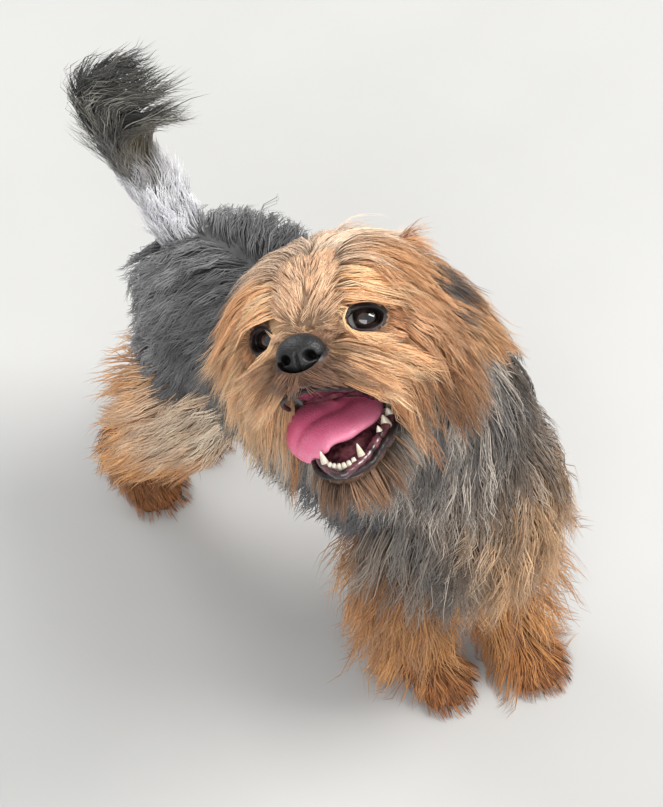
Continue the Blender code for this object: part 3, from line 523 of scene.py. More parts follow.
def kinds_at(points, ways, marks):
    """Names the kind of coat at each root by its part and its place in the head's or the body's frame."""
    part = marks[:, 0].astype(int)
    head, head_way = in_frame(points, HEAD), turned(ways, HEAD.inverted())
    x, y, z = head.T
    body = points - SHIFT
    eye = np.minimum(*(np.linalg.norm(head - EYE_AT * (side, 1, 1), axis=1) for side in (1, -1)))
    skull = (part == PART["skull"]) | (part == PART["lids"])
    legs = [part == PART[name] for name in LEGS]
    fore, hind = legs[0] | legs[1], legs[2] | legs[3]
    paws = np.isin(part, [PART[name + "_paw"] for name in LEGS])
    edge = 0.158 - 0.30 * (body[:, 1] - 0.045).clip(0) + 0.004 * np.sin(210 * body[:, 0] + 190 * body[:, 1])
    edge += 0.003 * np.sin(520 * body[:, 1] - 330 * body[:, 0])
    tests = (
        (skull & (eye < 0.0135) & (z < 0.010), "face"),
        (skull & (y < -0.029) & (z < -0.0125) & (abs(x) < 0.0085), "face"),
        (skull & (abs(x) < 0.0085) & (y < -0.009) & (z > -0.013), "bridge"),
        (skull & (head_way[:, 2] < -0.6) & (y > -0.004), "throat"),
        (skull & (y < -0.013), "moustache"),
        (skull & (z > 0.008), "crown"),
        (skull, "cheek"),
        (part == PART["jaw"], "beard"),
        ((part == PART["ear_left"]) | (part == PART["ear_right"]), "ear"),
        (part == PART["neck"], "neck"),
        ((part == PART["torso"]) & (body[:, 1] < -0.055), "chest"),
        ((part == PART["torso"]) & (ways[:, 2] < -0.5), "belly"),
        ((part == PART["torso"]) & (body[:, 1] > 0.030) & (body[:, 2] < edge), "thigh"),
        (part == PART["torso"], "torso"),
        (part == PART["tail"], "tail"),
        (paws, "paw"),
        (fore & (body[:, 2] > 0.055), "foreleg"),
        (fore, "shin"),
        (hind & (body[:, 2] > edge), "torso"),
        (hind & (body[:, 2] > 0.075), "thigh"),
        (hind, "shin"),
    )
    return np.select([test for test, _ in tests], [KIND_NAMES.index(kind) for _, kind in tests])


def bare_at(points, ways):
    """Tells where no hair grows: inside the mouth, on the lips, in the eyes, under the nose pad and under the soles."""
    head, head_way = in_frame(points, HEAD), turned(ways, HEAD.inverted())
    jaw, jaw_way = in_frame(points, JAW), turned(ways, JAW.inverted())
    x, y, z = head.T
    palate = (abs(x) < 0.0185) & (y < 0.004) & (y > -0.040) & (z < -0.0195) & (z > -0.034) & (head_way[:, 2] < -0.2)
    floor = (abs(jaw[:, 0]) < 0.0170) & (jaw[:, 1] < 0.006) & (jaw[:, 1] > -0.034) & (jaw_way[:, 2] > 0.25)
    floor &= (jaw[:, 2] > -0.0300) & (jaw[:, 2] < -0.0150)
    nose = np.linalg.norm((head - (0, -0.0375, -0.0090)) / (0.0098, 0.0075, 0.0080), axis=1) < 1
    eyes = np.zeros(len(points), bool)
    for side in (1, -1):
        out = math.radians(EYE_OUTWARD) * side
        front = EYE_AT * (side, 1, 1) + EYE_RADIUS * np.array((math.sin(out), -math.cos(out), 0))
        eyes |= np.linalg.norm((head - front) / (0.0078, 0.0080, 0.0056), axis=1) < 1
    sole = (points[:, 2] < 0.003) & (ways[:, 2] < -0.3)
    return palate | floor | nose | eyes | sole


kinds = kinds_at(roots, ways, marks)
keep = ~bare_at(roots, ways) & (DICE.random(len(roots)) < KIND_TABLE[kinds, 0])
roots, ways, marks, kinds = roots[keep], ways[keep], marks[keep], kinds[keep]
print({name: int((kinds == number).sum()) for number, name in enumerate(KIND_NAMES)})

# %% [markdown]
# ## Which way it lies
#
# Hair has a lie: on the head it parts along the middle and falls to both sides and back, on the muzzle it runs out
# from the bridge, on the body it hangs from the line of the back. The lie is a field, a direction for any point.

# %% The lie of the coat
def lie_at(points, ways, kinds):
    """Gives the lie at each point, as one direction chosen by kind in the head's frame or in the body's."""
    x, y, z = in_frame(points, HEAD).T
    side = np.tanh(x / 0.003)
    one, body = np.ones(len(points)), points - SHIFT
    left = np.tanh(body[:, 0] / 0.006)
    high = body[:, 2] > 0.266
    far = (1 + left) / 2 * (body[:, 1] < 0)

    def head(*parts):
        return turned(np.stack(np.broadcast_arrays(*parts, one)[:3], -1), HEAD)

    def world(*parts):
        return np.stack(np.broadcast_arrays(*parts, one)[:3], -1)

    inner = (0.615 * ways[:, 0] - 0.789 * ways[:, 1]).clip(0) * ramp(body[:, 2], 0.235, 0.255)
    rear = 0.70 - 0.60 * ramp(abs(x), 0.006, 0.022)
    lies = {
        "crown": head(0.95 * np.tanh(x / 0.008), rear, 0.22 - 1.2 * ramp(abs(x), 0.003, 0.024)),
        "bridge": head(0.30 * side, 0.90, 0.22),
        "face": head(0.75 * side, 0.55, np.where(z > 0.001, 0.50, -0.50)),
        "cheek": head((0.75 - 0.45 * ramp(-z, 0.0, 0.022)) * side, 0.25, -0.45 - 0.5 * ramp(-z, -0.006, 0.020)),
        "moustache": head(0.85 * side, 0.45, -0.42),
        "beard": turned(np.stack((0.35 * side, -0.35 * one, -one), -1), JAW),
        "throat": world(0.3 * left, 0.0, -1.0),
        "ear": turned(np.stack((side * EAR_LIE[0], EAR_LIE[1] * one, EAR_LIE[2] * one), -1), HEAD),
        "neck": world(0.25 * ways[:, 0] + 0.15 * left, 0.2 * ways[:, 1] - 0.05, -1.0),
        "chest": world(0.35 * ways[:, 0], -0.12, -1.0),
        "torso": world(0.9 * left * ways[:, 2].clip(0), 0.45, -0.9 + 0.7 * ways[:, 2].clip(0)),
        "belly": world(0.2 * left, 0.3, -0.7),
        "foreleg": world(0.5 * ways[:, 0] + 0.12 * far, 0.35 * ways[:, 1] - 0.55 * far, -1.0),
        "shin": world(0.5 * ways[:, 0] + 0.20 * far, 0.4 * ways[:, 1] - 0.45 * far, -0.9),
        "thigh": world(0.5 * ways[:, 0], 0.90, -0.6),
        "paw": world(0.3 * ways[:, 0], -0.6, -0.5),
        "tail": np.where(high[:, None], world(0.55, -0.5, 0.25), world(0.10 * ways[:, 0] + 0.6 * inner,
                                                                       0.45 + 0.10 * ways[:, 1] - inner, 0.9 - inner)),
    }
    return unit(np.select([(kinds == number)[:, None] for number in range(len(KIND_NAMES))],
                          [lies[name] for name in KIND_NAMES]))


def trim_at(points, kinds):
    """Gives the share of its kind's length that hair has at a place: short before the ear, over the rump and knee."""
    x, y, z = in_frame(points, HEAD).T
    bx, by, bz = (points - SHIFT).T
    kind = {name: kinds == number for number, name in enumerate(KIND_NAMES)}
    share = np.ones(len(points))
    share -= kind["crown"] * (0.36 * ramp(x, 0.006, 0.020) + 0.10 * ramp(-x, 0.010, 0.020))
    near_eye = np.minimum(*(np.linalg.norm(np.stack((x - side * EYE_AT[0], y, z), -1), axis=1) for side in (1, -1)))
    by_eye = kind["face"] | kind["moustache"] | kind["bridge"] | kind["crown"]
    share -= by_eye * 0.48 * (1 - ramp(near_eye, 0.011, 0.0165)) * (z < 0.012)
    share -= kind["cheek"] * (0.30 * (1 - ramp(near_eye, 0.014, 0.026)) + 0.25 * ramp(z, -0.012, 0.002) * (x > 0))
    share -= kind["torso"] * (0.30 * ramp(by, 0.050, 0.085) + 0.25 * ramp(-bz, -0.165, -0.145) * (by > 0.01))
    share -= kind["tail"] * (0.45 * ramp(-bz, -0.240, -0.205) + 0.20 * ramp(bz, 0.262, 0.275))
    share -= kind["shin"] * 0.40 * (by > 0)
    share += kind["foreleg"] * 0.10 * (bx > 0) + kind["shin"] * 0.25 * ((bx > 0) & (by < 0))
    share += kind["torso"] * 0.25 * ramp(bz, 0.192, 0.200) * (by < 0.075) * ramp(bx, -0.005, 0.010)
    share -= kind["foreleg"] * 0.22 * (bx > 0.030) * ramp(bz, 0.126, 0.134)
    return share


def over_skin(points):
    """Finds for each point the skin's nearest place, its outward way there and the height over it."""
    found = [SKIN_TREE.find_nearest(point)[:2] for point in points.tolist()]
    near = np.array([item[0] for item in found])
    out = np.array([item[1] for item in found])
    return out, ((points - near) * out).sum(1)


print("lies:", np.round(lie_at(roots[:3], ways[:3], kinds[:3]), 2).tolist())

# %% [markdown]
# ## Leading the locks
#
# Hair lies in locks. A few thousand guide hairs are led first: each step goes on along the last, bends to the lie and
# to its own weight, and is lifted clear of the skin. The steps run over all guides at once.

# %% Lead the guide hairs
STEPS = 9
GUIDE_EVERY = 12
FLOOR_CLEAR = 0.0012
FACE_CLEAR = 0.0080


def off_the_face(points):
    """Moves points out of the cone before each eye: those nearer its axis than the rim go out to the rim."""
    local = in_frame(points.reshape(-1, 3), HEAD)
    for side in (1, -1):
        out = math.radians(EYE_OUTWARD) * side
        axis = np.array((math.sin(out), -math.cos(out), 0.0))
        arm = local - EYE_AT * (side, 1, 1)
        depth = arm @ axis
        flat = arm - depth[:, None] * axis
        reach = np.linalg.norm(flat / (1.0, 1.0, 0.68), axis=1)
        inside = (depth > 0.002) & (depth < 0.03) & (reach < FACE_CLEAR)
        local = np.where(inside[:, None], local + flat * (FACE_CLEAR / np.maximum(reach, 1e-4) - 1)[:, None], local)
    return placed(local, HEAD).reshape(points.shape)


def over_an_eye(points):
    """Tells which points stand before an eye's opening: within the rim of its cone, ahead of the ball."""
    local = in_frame(points.reshape(-1, 3), HEAD)
    over = np.zeros(len(local), bool)
    for side in (1, -1):
        out = math.radians(EYE_OUTWARD) * side
        axis = np.array((math.sin(out), -math.cos(out), 0.0))
        arm = local - EYE_AT * (side, 1, 1)
        depth = arm @ axis
        reach = np.linalg.norm((arm - depth[:, None] * axis) / (1.0, 1.0, 0.68), axis=1)
        over |= (depth > 0.003) & (depth < 0.03) & (reach < 0.92 * FACE_CLEAR)
    return over.reshape(points.shape[:-1])


def in_the_mouth(paths):
    """Tells which paths cross the open mouth: any point in the box before the palate or over the lower teeth."""
    upper, lower = in_frame(paths.reshape(-1, 3), HEAD), in_frame(paths.reshape(-1, 3), JAW)
    over = (abs(upper[:, 0]) < 0.0150) & (upper[:, 1] > -0.055) & (upper[:, 1] < -0.006)
    over &= (upper[:, 2] < -0.0275) & (upper[:, 2] > -0.060)
    under = (abs(lower[:, 0]) < 0.0150) & (lower[:, 1] > -0.0330) & (lower[:, 1] < 0.004)
    under &= (lower[:, 2] > -0.0215) & (lower[:, 2] < 0.002)
    return (over & (lower[:, 2] > -0.0225) | under).reshape(paths.shape[:2]).any(1)


def lead(points, ways, kinds, size):
    """Leads paths from the skin: p + heading step, heading bent to lie - sag z, p lifted to its depth over the skin."""
    length, depth, rise, sag = (KIND_TABLE[kinds, column] for column in (1, 2, 3, 4))
    length = length * size
    depth = depth * DICE.uniform(0.25, 1.0, len(points))
    step = (length / STEPS)[:, None]
    sway = DICE.normal(0, 0.16, (len(points), 3))
    down = np.array((0.0, 0.0, 1.0))
    heading = unit(lie_at(points, ways, kinds) + ways * rise[:, None] + sway)
    path, out = [points], ways
    for index in range(1, STEPS + 1):
        point = path[-1] + heading * step
        out, height = over_skin(point)
        wanted = 0.0005 + depth * (index / STEPS) ** 0.6
        point = point + out * (wanted - height).clip(0)[:, None]
        point = off_the_face(point)
        point[:, 2] = point[:, 2].clip(FLOOR_CLEAR)
        going = unit(point - path[-1])
        bend = unit(lie_at(point, out, kinds) + sway - sag[:, None] * down)
        low = height < 2.5 * wanted
        bend -= out * np.where(low, (bend * out).sum(1).clip(None, 0), 0.0)[:, None]
        heading = unit(going + 0.8 * bend)
        path.append(point)
    return np.stack(path, 1)


guide = np.arange(len(roots)) % GUIDE_EVERY == 0
guide_size = DICE.uniform(0.85, 1.12, guide.sum()) * trim_at(roots[guide], kinds[guide])
guide_paths = lead(roots[guide], ways[guide], kinds[guide], guide_size)
print("led", len(guide_paths), "guides; highest", round(float(guide_paths[:, :, 2].max()), 4))

# %% [markdown]
# ## Filling in the hair
#
# Every other hair takes the mean path of its three nearest guides, is drawn towards the nearest so that locks gather
# to their tips, and gets a wave of its own lock. Hairs left and right of a parting never share guides.

# %% Fill in between the guides
def group_of(points, marks, kinds):
    """Numbers the groups that share guides: part by part, and left and right of the head's and the back's parting."""
    side = in_frame(points, HEAD)[:, 0] > 0
    on_head = np.isin(marks[:, 0], (PART["skull"], PART["jaw"]))
    side = np.where(on_head, side, points[:, 0] > SHIFT[0])
    return marks[:, 0].astype(int) * 64 + kinds * 2 + side


def fill_in(points, kinds, group):
    """Blends guide paths: root + mean of their shifts, drawn to the nearest by gathering t, with a sideways wave."""
    paths = np.empty((len(points), STEPS + 1, 3))
    lock = np.zeros(len(points), int)
    guide_group = group[guide]
    guide_root = guide_paths[:, 0]
    share = np.linspace(0, 1, STEPS + 1)[None, :, None]
    for number in np.unique(group):
        here = np.flatnonzero(group == number)
        among = np.flatnonzero(guide_group == number)
        if len(among) == 0:
            among = np.flatnonzero(guide_group // 64 == number // 64)
        if len(among) == 0:
            among = np.arange(len(guide_root))
        apart = ((points[here][:, None] - guide_root[among][None]) ** 2).sum(-1)
        count = min(3, len(among))
        near = np.argpartition(apart, count - 1, axis=1)[:, :count]
        gap = np.take_along_axis(apart, near, 1)
        weight = 1 / (gap + 1e-7)
        weight /= weight.sum(1, keepdims=True)
        shifts = guide_paths[among] - guide_root[among][:, None]
        mean = (shifts[near] * weight[:, :, None, None]).sum(1)
        first = among[np.take_along_axis(near, gap.argmin(1)[:, None], 1)[:, 0]]
        lock[here] = first
        own = points[here][:, None] + mean
        gather = KIND_TABLE[kinds[here], 8][:, None, None] * share**0.8 * DICE.uniform(0.5, 1.15, (len(here), 1, 1))
        paths[here] = own + (guide_paths[first] - own) * gather
    return paths, lock


def resampled(paths, size, count):
    """Cuts each path at a share of its length and spaces count points along it, by straight blends of its steps."""
    place = np.linspace(0, 1, count)[None] * size[:, None] * (STEPS - 1e-6)
    low = place.astype(int)
    rows = np.arange(len(paths))[:, None]
    blend = (place - low)[:, :, None]
    return paths[rows, low] * (1 - blend) + paths[rows, low + 1] * blend


def waved(paths, lock, kinds, ways):
    """Adds a wave across each path: amplitude share sin(2 pi length share / wave length + the lock's phase)."""
    length, wave, period = (KIND_TABLE[kinds, column] for column in (1, 5, 6))
    dice = np.random.default_rng(5)
    phase = dice.uniform(0, 2 * np.pi, len(guide_paths))[lock] + DICE.normal(0, 0.5, len(paths))
    tall = dice.uniform(0.3, 1.5, len(guide_paths))[lock] * DICE.uniform(0.7, 1.3, len(paths))
    share = np.linspace(0, 1, paths.shape[1])[None]
    along = unit(np.gradient(paths, axis=1))
    across = unit(np.cross(along, ways[:, None] + 1e-4))
    angle = 2 * np.pi * share * (length / period)[:, None] + phase[:, None]
    push = (wave * tall)[:, None] * share * np.sin(angle)
    stray = (wave * 0.5)[:, None] * share**1.5 * DICE.normal(0, 1, (len(paths), 1))
    lift = (wave * 0.5)[:, None] * share * np.cos(angle)
    return paths + across * (push + stray)[:, :, None] + ways[:, None] * lift[:, :, None]


group = group_of(roots, marks, kinds)
paths, lock = fill_in(roots, kinds, group)
paths = off_the_face(paths)
sizes = DICE.uniform(0.62, 1.0, len(roots))
clear = ~in_the_mouth(paths)
print("filled in", len(paths), "hairs in", len(np.unique(lock)), "locks;", int((~clear).sum()), "cut from the mouth")

# %% [markdown]
# ## Markings
#
# The skin and every hair take their colour from one function of place, so markings run on through both. A steel-grey
# mantle covers the back, neck and tail, tan the head and legs, pale blond the crown and the bridge of the nose, and
# each ear has a dark middle. Every lock has its own luck between the darker and the lighter colour of its place.
# Shade and light are painted in too: darker rust on the lower cheek and on the side of the dog's left cheek, lighter
# tan on the dog's right cheek, and a lighter top of the back.

# %% Markings, painted shade and painted light by place
def blend(low, high, share):
    """Mixes two colours: low (1 - s) + high s, for arrays of places."""
    share = np.asarray(share, float).clip(0, 1)[:, None]
    return np.asarray(low) * (1 - share) + np.asarray(high) * share


TINTS = {
    # kind: the darker and the lighter colour of its locks
    "crown": ((0.70, 0.46, 0.30), (0.95, 0.76, 0.57)),
    "bridge": ((0.66, 0.375, 0.21), (0.96, 0.67, 0.43)),
    "face": ((0.62, 0.28, 0.12), (0.95, 0.54, 0.29)),
    "cheek": ((0.62, 0.28, 0.11), (0.95, 0.58, 0.33)),
    "moustache": ((0.92, 0.46, 0.20), (1.00, 0.70, 0.42)),
    "beard": ((0.13, 0.065, 0.034), (0.44, 0.24, 0.13)),
    "throat": ((0.20, 0.14, 0.10), (0.52, 0.40, 0.30)),
    "ear": ((0.44, 0.21, 0.085), (0.80, 0.48, 0.25)),
    "neck": ((0.060, 0.052, 0.048), (0.40, 0.36, 0.33)),
    "chest": ((0.080, 0.060, 0.046), (0.42, 0.33, 0.26)),
    "torso": ((0.068, 0.064, 0.065), (0.31, 0.305, 0.31)),
    "belly": ((0.10, 0.07, 0.05), (0.30, 0.22, 0.15)),
    "foreleg": ((0.34, 0.125, 0.032), (0.86, 0.45, 0.165)),
    "shin": ((0.36, 0.120, 0.026), (0.78, 0.35, 0.10)),
    "thigh": ((0.80, 0.54, 0.35), (1.00, 0.84, 0.65)),
    "paw": ((0.28, 0.092, 0.020), (0.60, 0.235, 0.065)),
    "tail": ((0.058, 0.056, 0.055), (0.34, 0.335, 0.345)),
}
TINT_LOW, TINT_HIGH = (np.array([TINTS[name][column] for name in KIND_NAMES]) for column in (0, 1))


EAR_PATCH = (0.0325, 0.0182, 0.0118)


def tints_at(points, kinds, luck):
    """Gives the coat's colour at each place: its kind's two colours by luck, then the markings, painted shade and
    painted light over them.
    """
    x, y, z = in_frame(points, HEAD).T
    bx, by, bz = (points - SHIFT).T
    kind = {name: kinds == number for number, name in enumerate(KIND_NAMES)}
    tint = blend((0, 0, 0), (1, 1, 1), luck) * (TINT_HIGH[kinds] - TINT_LOW[kinds]) + TINT_LOW[kinds]

    def marked(tint, where, share, low, high):
        other = blend(low, high, luck)
        return tint + (other - tint) * (np.asarray(share) * where)[:, None]

    side_of_crown = ramp(abs(x), 0.007, 0.015)
    tint = marked(tint, kind["crown"], side_of_crown, (0.54, 0.25, 0.10), (0.90, 0.53, 0.28))
    tint = marked(tint, kind["crown"], ramp(y, 0.012, 0.030) * 0.7, (0.52, 0.26, 0.12), (0.84, 0.53, 0.31))
    eyes = np.minimum(*(np.linalg.norm(np.stack((x, y, z), -1) - EYE_AT * (side, 1, 1) - (0, -0.007, 0), axis=1)
                        for side in (1, -1)))
    tint = marked(tint, kind["face"] | kind["bridge"], 1 - ramp(eyes, 0.0075, 0.0105),
                  (0.10, 0.045, 0.022), (0.30, 0.15, 0.075))
    # Painted shade: the lower cheek turns a darker rust.
    low_cheek = ramp(-z, 0.016, 0.034)
    tint = marked(tint, kind["cheek"], low_cheek, (0.34, 0.120, 0.028), (0.70, 0.31, 0.11))
    # Painted shade: a patch on the side of the dog's left cheek turns dark rust.
    tint = marked(tint, kind["cheek"], ramp(x, 0.018, 0.028) * ramp(-z, 0.004, 0.014) * 0.9,
                  (0.16, 0.056, 0.014), (0.43, 0.185, 0.058))
    # Painted light: the dog's right cheek is lighter, against the shade on that side, except on the lower cheek.
    tint = marked(tint, kind["cheek"], ramp(-x, 0.012, 0.024) * (1 - low_cheek), (0.94, 0.50, 0.24), (1.00, 0.74, 0.46))
    near_nose = 1 - ramp(np.linalg.norm(np.stack((x, y + 0.0375, z + 0.0105), -1), axis=1), 0.009, 0.0135)
    tint = marked(tint, kind["bridge"] | kind["moustache"] | kind["face"], near_nose, (0.12, 0.055, 0.03), (0.34, 0.17, 0.09))
    ear = np.stack((abs(x), y, z), -1) - EAR_PATCH
    dark_ear = 1 - ramp(np.linalg.norm(ear, axis=1), 0.0080, 0.0118)
    tint = marked(tint, kind["ear"] | kind["crown"], dark_ear, (0.055, 0.040, 0.032), (0.20, 0.145, 0.115))
    dark_side = ramp(bx, -0.012, -0.003) * ramp(bz, 0.182, 0.202)
    tint = marked(tint, kind["neck"] | kind["chest"], dark_side,
                  (0.030, 0.023, 0.018), (0.12, 0.088, 0.066))
    tint = marked(tint, kind["neck"], ramp(-by, 0.050, 0.075) * ramp(-bz, -0.235, -0.185),
                  (0.14, 0.09, 0.058), (0.46, 0.35, 0.27))
    # The torso's coat is darkened overall and lightened along the top of the back: partly the coat's silver, partly
    # painted light from above.
    tint = tint * (1 + kind["torso"] * (0.12 * ramp(bz, 0.165, 0.198) - 0.34))[:, None]
    tint = marked(tint, kind["torso"], ramp(by, 0.060, 0.085) * 0.8, (0.13, 0.128, 0.13), (0.46, 0.455, 0.46))
    cream = ramp(luck, 0.64, 0.76) * 0.9 * (1 - 0.85 * dark_side)
    tint = marked(tint, kind["neck"] | kind["chest"] | kind["throat"], cream, (0.46, 0.38, 0.30), (0.72, 0.62, 0.52))
    tint = marked(tint, kind["torso"], ramp(-bz, -0.142, -0.122) * 0.7, (0.11, 0.082, 0.062), (0.28, 0.22, 0.17))
    side_tan = ramp(bx, -0.026, -0.014) * ramp(-bz, -0.192, -0.172)
    tint = marked(tint, kind["neck"] | kind["chest"], side_tan * 0.9, (0.34, 0.18, 0.080), (0.86, 0.54, 0.29))
    back_of_chin = kind["beard"] * ramp(in_frame(points, JAW)[:, 1], -0.020, -0.012)
    tint = marked(tint, back_of_chin, 0.85, (0.10, 0.080, 0.066), (0.66, 0.57, 0.48))
    base = 1 - ramp(bz, 0.212, 0.232)
    tint = marked(tint, kind["tail"], ramp(bz, 0.225, 0.250), (0.016, 0.015, 0.013), (0.095, 0.092, 0.080))
    tint = marked(tint, kind["tail"], ramp(luck, 0.66, 0.82) * (0.9 - 0.7 * ramp(bz, 0.255, 0.275)),
                  (0.24, 0.225, 0.18), (0.48, 0.465, 0.40))
    tint = marked(tint, kind["tail"], base, (0.84, 0.83, 0.87), (0.98, 0.97, 0.98))
    tint = marked(tint, kind["tail"], (1 - base) * ramp(-by, -0.118, -0.106) * 0.92,
                  (0.055, 0.042, 0.018), (0.17, 0.13, 0.060))
    rust = np.maximum(1 - ramp(bz, 0.085, 0.120), 0.85 * ramp(by + 0.02 * luck, 0.070, 0.100))
    tint = marked(tint, kind["thigh"], rust, (0.56, 0.23, 0.070), (0.98, 0.53, 0.20))
    tint = marked(tint, kind["thigh"] | kind["torso"], ramp(bz, 0.150, 0.172) * kind["thigh"] * 0.3,
                  (0.20, 0.17, 0.15), (0.52, 0.44, 0.37))
    tint = marked(tint, kind["shin"], 0.8 * (by > 0), (0.22, 0.080, 0.022), (0.50, 0.22, 0.075))
    tint = marked(tint, kind["foreleg"], ramp(bz, 0.115, 0.140) * 0.35, (0.13, 0.08, 0.05), (0.42, 0.30, 0.20))
    grey_shoulder = ramp(-bx, 0.024, 0.032) * ramp(bz + 0.02 * luck, 0.132, 0.146)
    tint = marked(tint, kind["foreleg"] | kind["chest"], grey_shoulder * 0.85, (0.075, 0.062, 0.052), (0.38, 0.34, 0.30))
    return tint.clip(0.012, 0.95)


lock_luck = np.random.default_rng(3).random(len(guide_paths))
luck = (0.65 * lock_luck[lock] + 0.35 * DICE.random(len(roots)) + DICE.normal(0, 0.10, len(roots))).clip(0, 1)
tints = tints_at(roots, kinds, luck) * DICE.uniform(0.86, 1.12, (len(roots), 1))
print("mean tint", np.round(tints.mean(0), 3).tolist())

# %% [markdown]
# ## Hair as mesh
#
# The export keeps only meshes, so each hair is a closed sliver: three corners carried along its path, widest near the
# root and closed to a point at its tip. All slivers of one kind are one array, and the arrays are cut into pieces of at
# most PIECE_TRIANGLES triangles. Each sliver's colours are kept as the tint of each point, and it gets a small patch of
# its own on the OFBake UV layer, at its root's place on a flat plan of the skin.

# %% Carry slivers along the paths
PLANS = {"skull": (0.0, 0.0, 0.36, 0.49), "torso": (0.37, 0.0, 0.33, 0.49), "neck": (0.71, 0.0, 0.28, 0.49)}
for name in PART_NAMES:
    if name not in PLANS:
        number = len(PLANS) - 3
        PLANS[name] = (0.125 * (number % 8), 0.5 + 0.25 * (number // 8), 0.120, 0.245)
PLAN_TABLE = np.array([PLANS[name] for name in PART_NAMES])
PATCH = 0.003
PIECE_TRIANGLES = 190000
# ROOT_SHADE darkens each hair towards its root: partly painted shade deep in the coat, partly the darker roots that tan
# hair has. TIP_LIGHT lightens the tips, as tan hair is lighter there. TIP_SHADE darkens the tips of all cheek hair
# instead: painted shade on the cheeks.
ROOT_SHADE, TIP_LIGHT, TIP_SHADE = 0.55, 1.10, 0.78


def sliver_points(paths, ways, widths):
    """Carries three corners along each path: path + across half a + up half b, with one point at the tip."""
    along = unit(np.gradient(paths, axis=1))[:, :-1]
    across = unit(np.cross(along, ways[:, None]))
    up = np.cross(across, along)
    rings = paths.shape[1] - 1
    taper = np.interp(np.arange(rings) / rings, (0, 0.15, 0.6, 1), (0.6, 1.0, 0.9, 0.35))
    half = (widths[:, None] * taper[None] / 2)[:, :, None]
    corners = [paths[:, :-1] + half * (across * a + up * b) for a, b in ((-1, -0.2), (1, -0.2), (0, 0.4))]
    body = np.stack(corners, 2).reshape(len(paths), rings * 3, 3)
    return np.concatenate((body, paths[:, -1:]), 1)


def sliver_faces(rings):
    """Numbers one sliver's triangles: two for each side of each span, three at the tip and one at the root."""
    low = 3 * np.arange(rings - 1)[:, None]
    here, after = np.arange(3)[None], (np.arange(3)[None] + 1) % 3
    first = np.stack((low + after, low + here, low + here + 3), -1).reshape(-1, 3)
    second = np.stack((low + after, low + here + 3, low + after + 3), -1).reshape(-1, 3)
    last = 3 * (rings - 1)
    tip = np.stack((last + after[0], last + here[0], np.full(3, 3 * rings)), -1)
    return np.concatenate((first, second, tip, [[0, 1, 2]]))


def mesh_of_arrays(name, points, faces, tints, plan):
    """Puts whole arrays of points, triangles, colours and plan places into one mesh object."""
    made = bpy.data.meshes.new(name)
    made.vertices.add(len(points))
    made.vertices.foreach_set("co", points.astype(np.float32).ravel())
    made.loops.add(faces.size)
    made.loops.foreach_set("vertex_index", faces.astype(np.int32).ravel())
    made.polygons.add(len(faces))
    made.polygons.foreach_set("loop_start", np.arange(0, faces.size, 3, dtype=np.int32))
    made.update(calc_edges=True)
    made.shade_smooth()
    colour = made.attributes.new("tint", "FLOAT_COLOR", "POINT")
    rgba = np.concatenate((tints, np.ones((len(tints), 1))), 1)
    colour.data.foreach_set("color", rgba.astype(np.float32).ravel())
    layer = made.uv_layers.new(name="OFBake")
    layer.data.foreach_set("uv", plan[faces.ravel()].astype(np.float32).ravel())
    piece = bpy.data.objects.new(name, made)
    bpy.context.scene.collection.objects.link(piece)
    return piece


def coat_pieces(name, chosen):
    """Makes the slivers of the chosen roots, grouped by their number of rings and cut into pieces."""
    pieces = []
    for rings in np.unique(KIND_TABLE[kinds[chosen], 9]).astype(int):
        some = chosen[KIND_TABLE[kinds[chosen], 9] == rings]
        lines = resampled(paths[some], sizes[some], rings + 1)
        lines = waved(lines, lock[some], kinds[some], ways[some])
        lines[:, :, 2] = lines[:, :, 2].clip(0.0006)
        lines = off_the_face(lines)
        open_view = ~over_an_eye((lines[:, 1:] + lines[:, :-1]) / 2).any(1)
        some, lines = some[open_view], lines[open_view]
        width = KIND_TABLE[kinds[some], 7] * DICE.uniform(0.7, 1.25, len(some))
        points = sliver_points(lines, ways[some], width)
        points[:, :, 2] = points[:, :, 2].clip(0.0002)
        template = sliver_faces(rings)
        share = np.append(np.repeat(np.arange(rings) / rings, 3), 1.0)
        # Painted shade: each hair darkens towards its root, and the cheek hair also towards its tip.
        shade = ROOT_SHADE + (1 - ROOT_SHADE) * (share / 0.35).clip(0, 1) ** 0.8
        tip = np.where(kinds[some] == KIND_NAMES.index("cheek"), TIP_SHADE, TIP_LIGHT)
        shade = shade + (tip[:, None] - 1) * ((share - 0.4) / 0.6).clip(0, 1)
        colour = tints[some][:, None] * shade[:, :, None]
        table = PLAN_TABLE[marks[some, 0].astype(int)]
        corner = table[:, :2] + table[:, 2:] * np.stack((marks[some, 2], marks[some, 1]), -1)
        patch = np.stack((np.tile((0.0, 1.0, 0.5), rings + 1)[:3 * rings + 1], share), -1) * PATCH
        plan = (corner[:, None] + patch[None]).clip(0, 1)
        per_piece = PIECE_TRIANGLES // len(template)
        for start in range(0, len(some), per_piece):
            part = slice(start, start + per_piece)
            count = len(points[part])
            faces = (template[None] + np.arange(count)[:, None, None] * (3 * rings + 1)).reshape(-1, 3)
            pieces.append(mesh_of_arrays(f"{name}_{len(pieces)}", points[part].reshape(-1, 3), faces,
                                         colour[part].reshape(-1, 3), plan[part].reshape(-1, 2)))
    return pieces


TAN_KINDS = ("crown", "bridge", "face", "cheek", "moustache", "beard", "ear", "foreleg", "shin", "thigh", "paw")
is_tan = np.isin(kinds, [KIND_NAMES.index(name) for name in TAN_KINDS])
on_head = np.isin(kinds, [KIND_NAMES.index(name) for name in TAN_KINDS[:7]])
tan_coat = coat_pieces("head_hair", np.flatnonzero(clear & is_tan & on_head))
tan_coat += coat_pieces("leg_hair", np.flatnonzero(clear & is_tan & ~on_head))
grey_coat = coat_pieces("mantle_hair", np.flatnonzero(clear & ~is_tan))
print(len(tan_coat), "tan pieces and", len(grey_coat), "grey pieces,",
      sum(len(piece.data.polygons) for piece in tan_coat + grey_coat), "triangles")

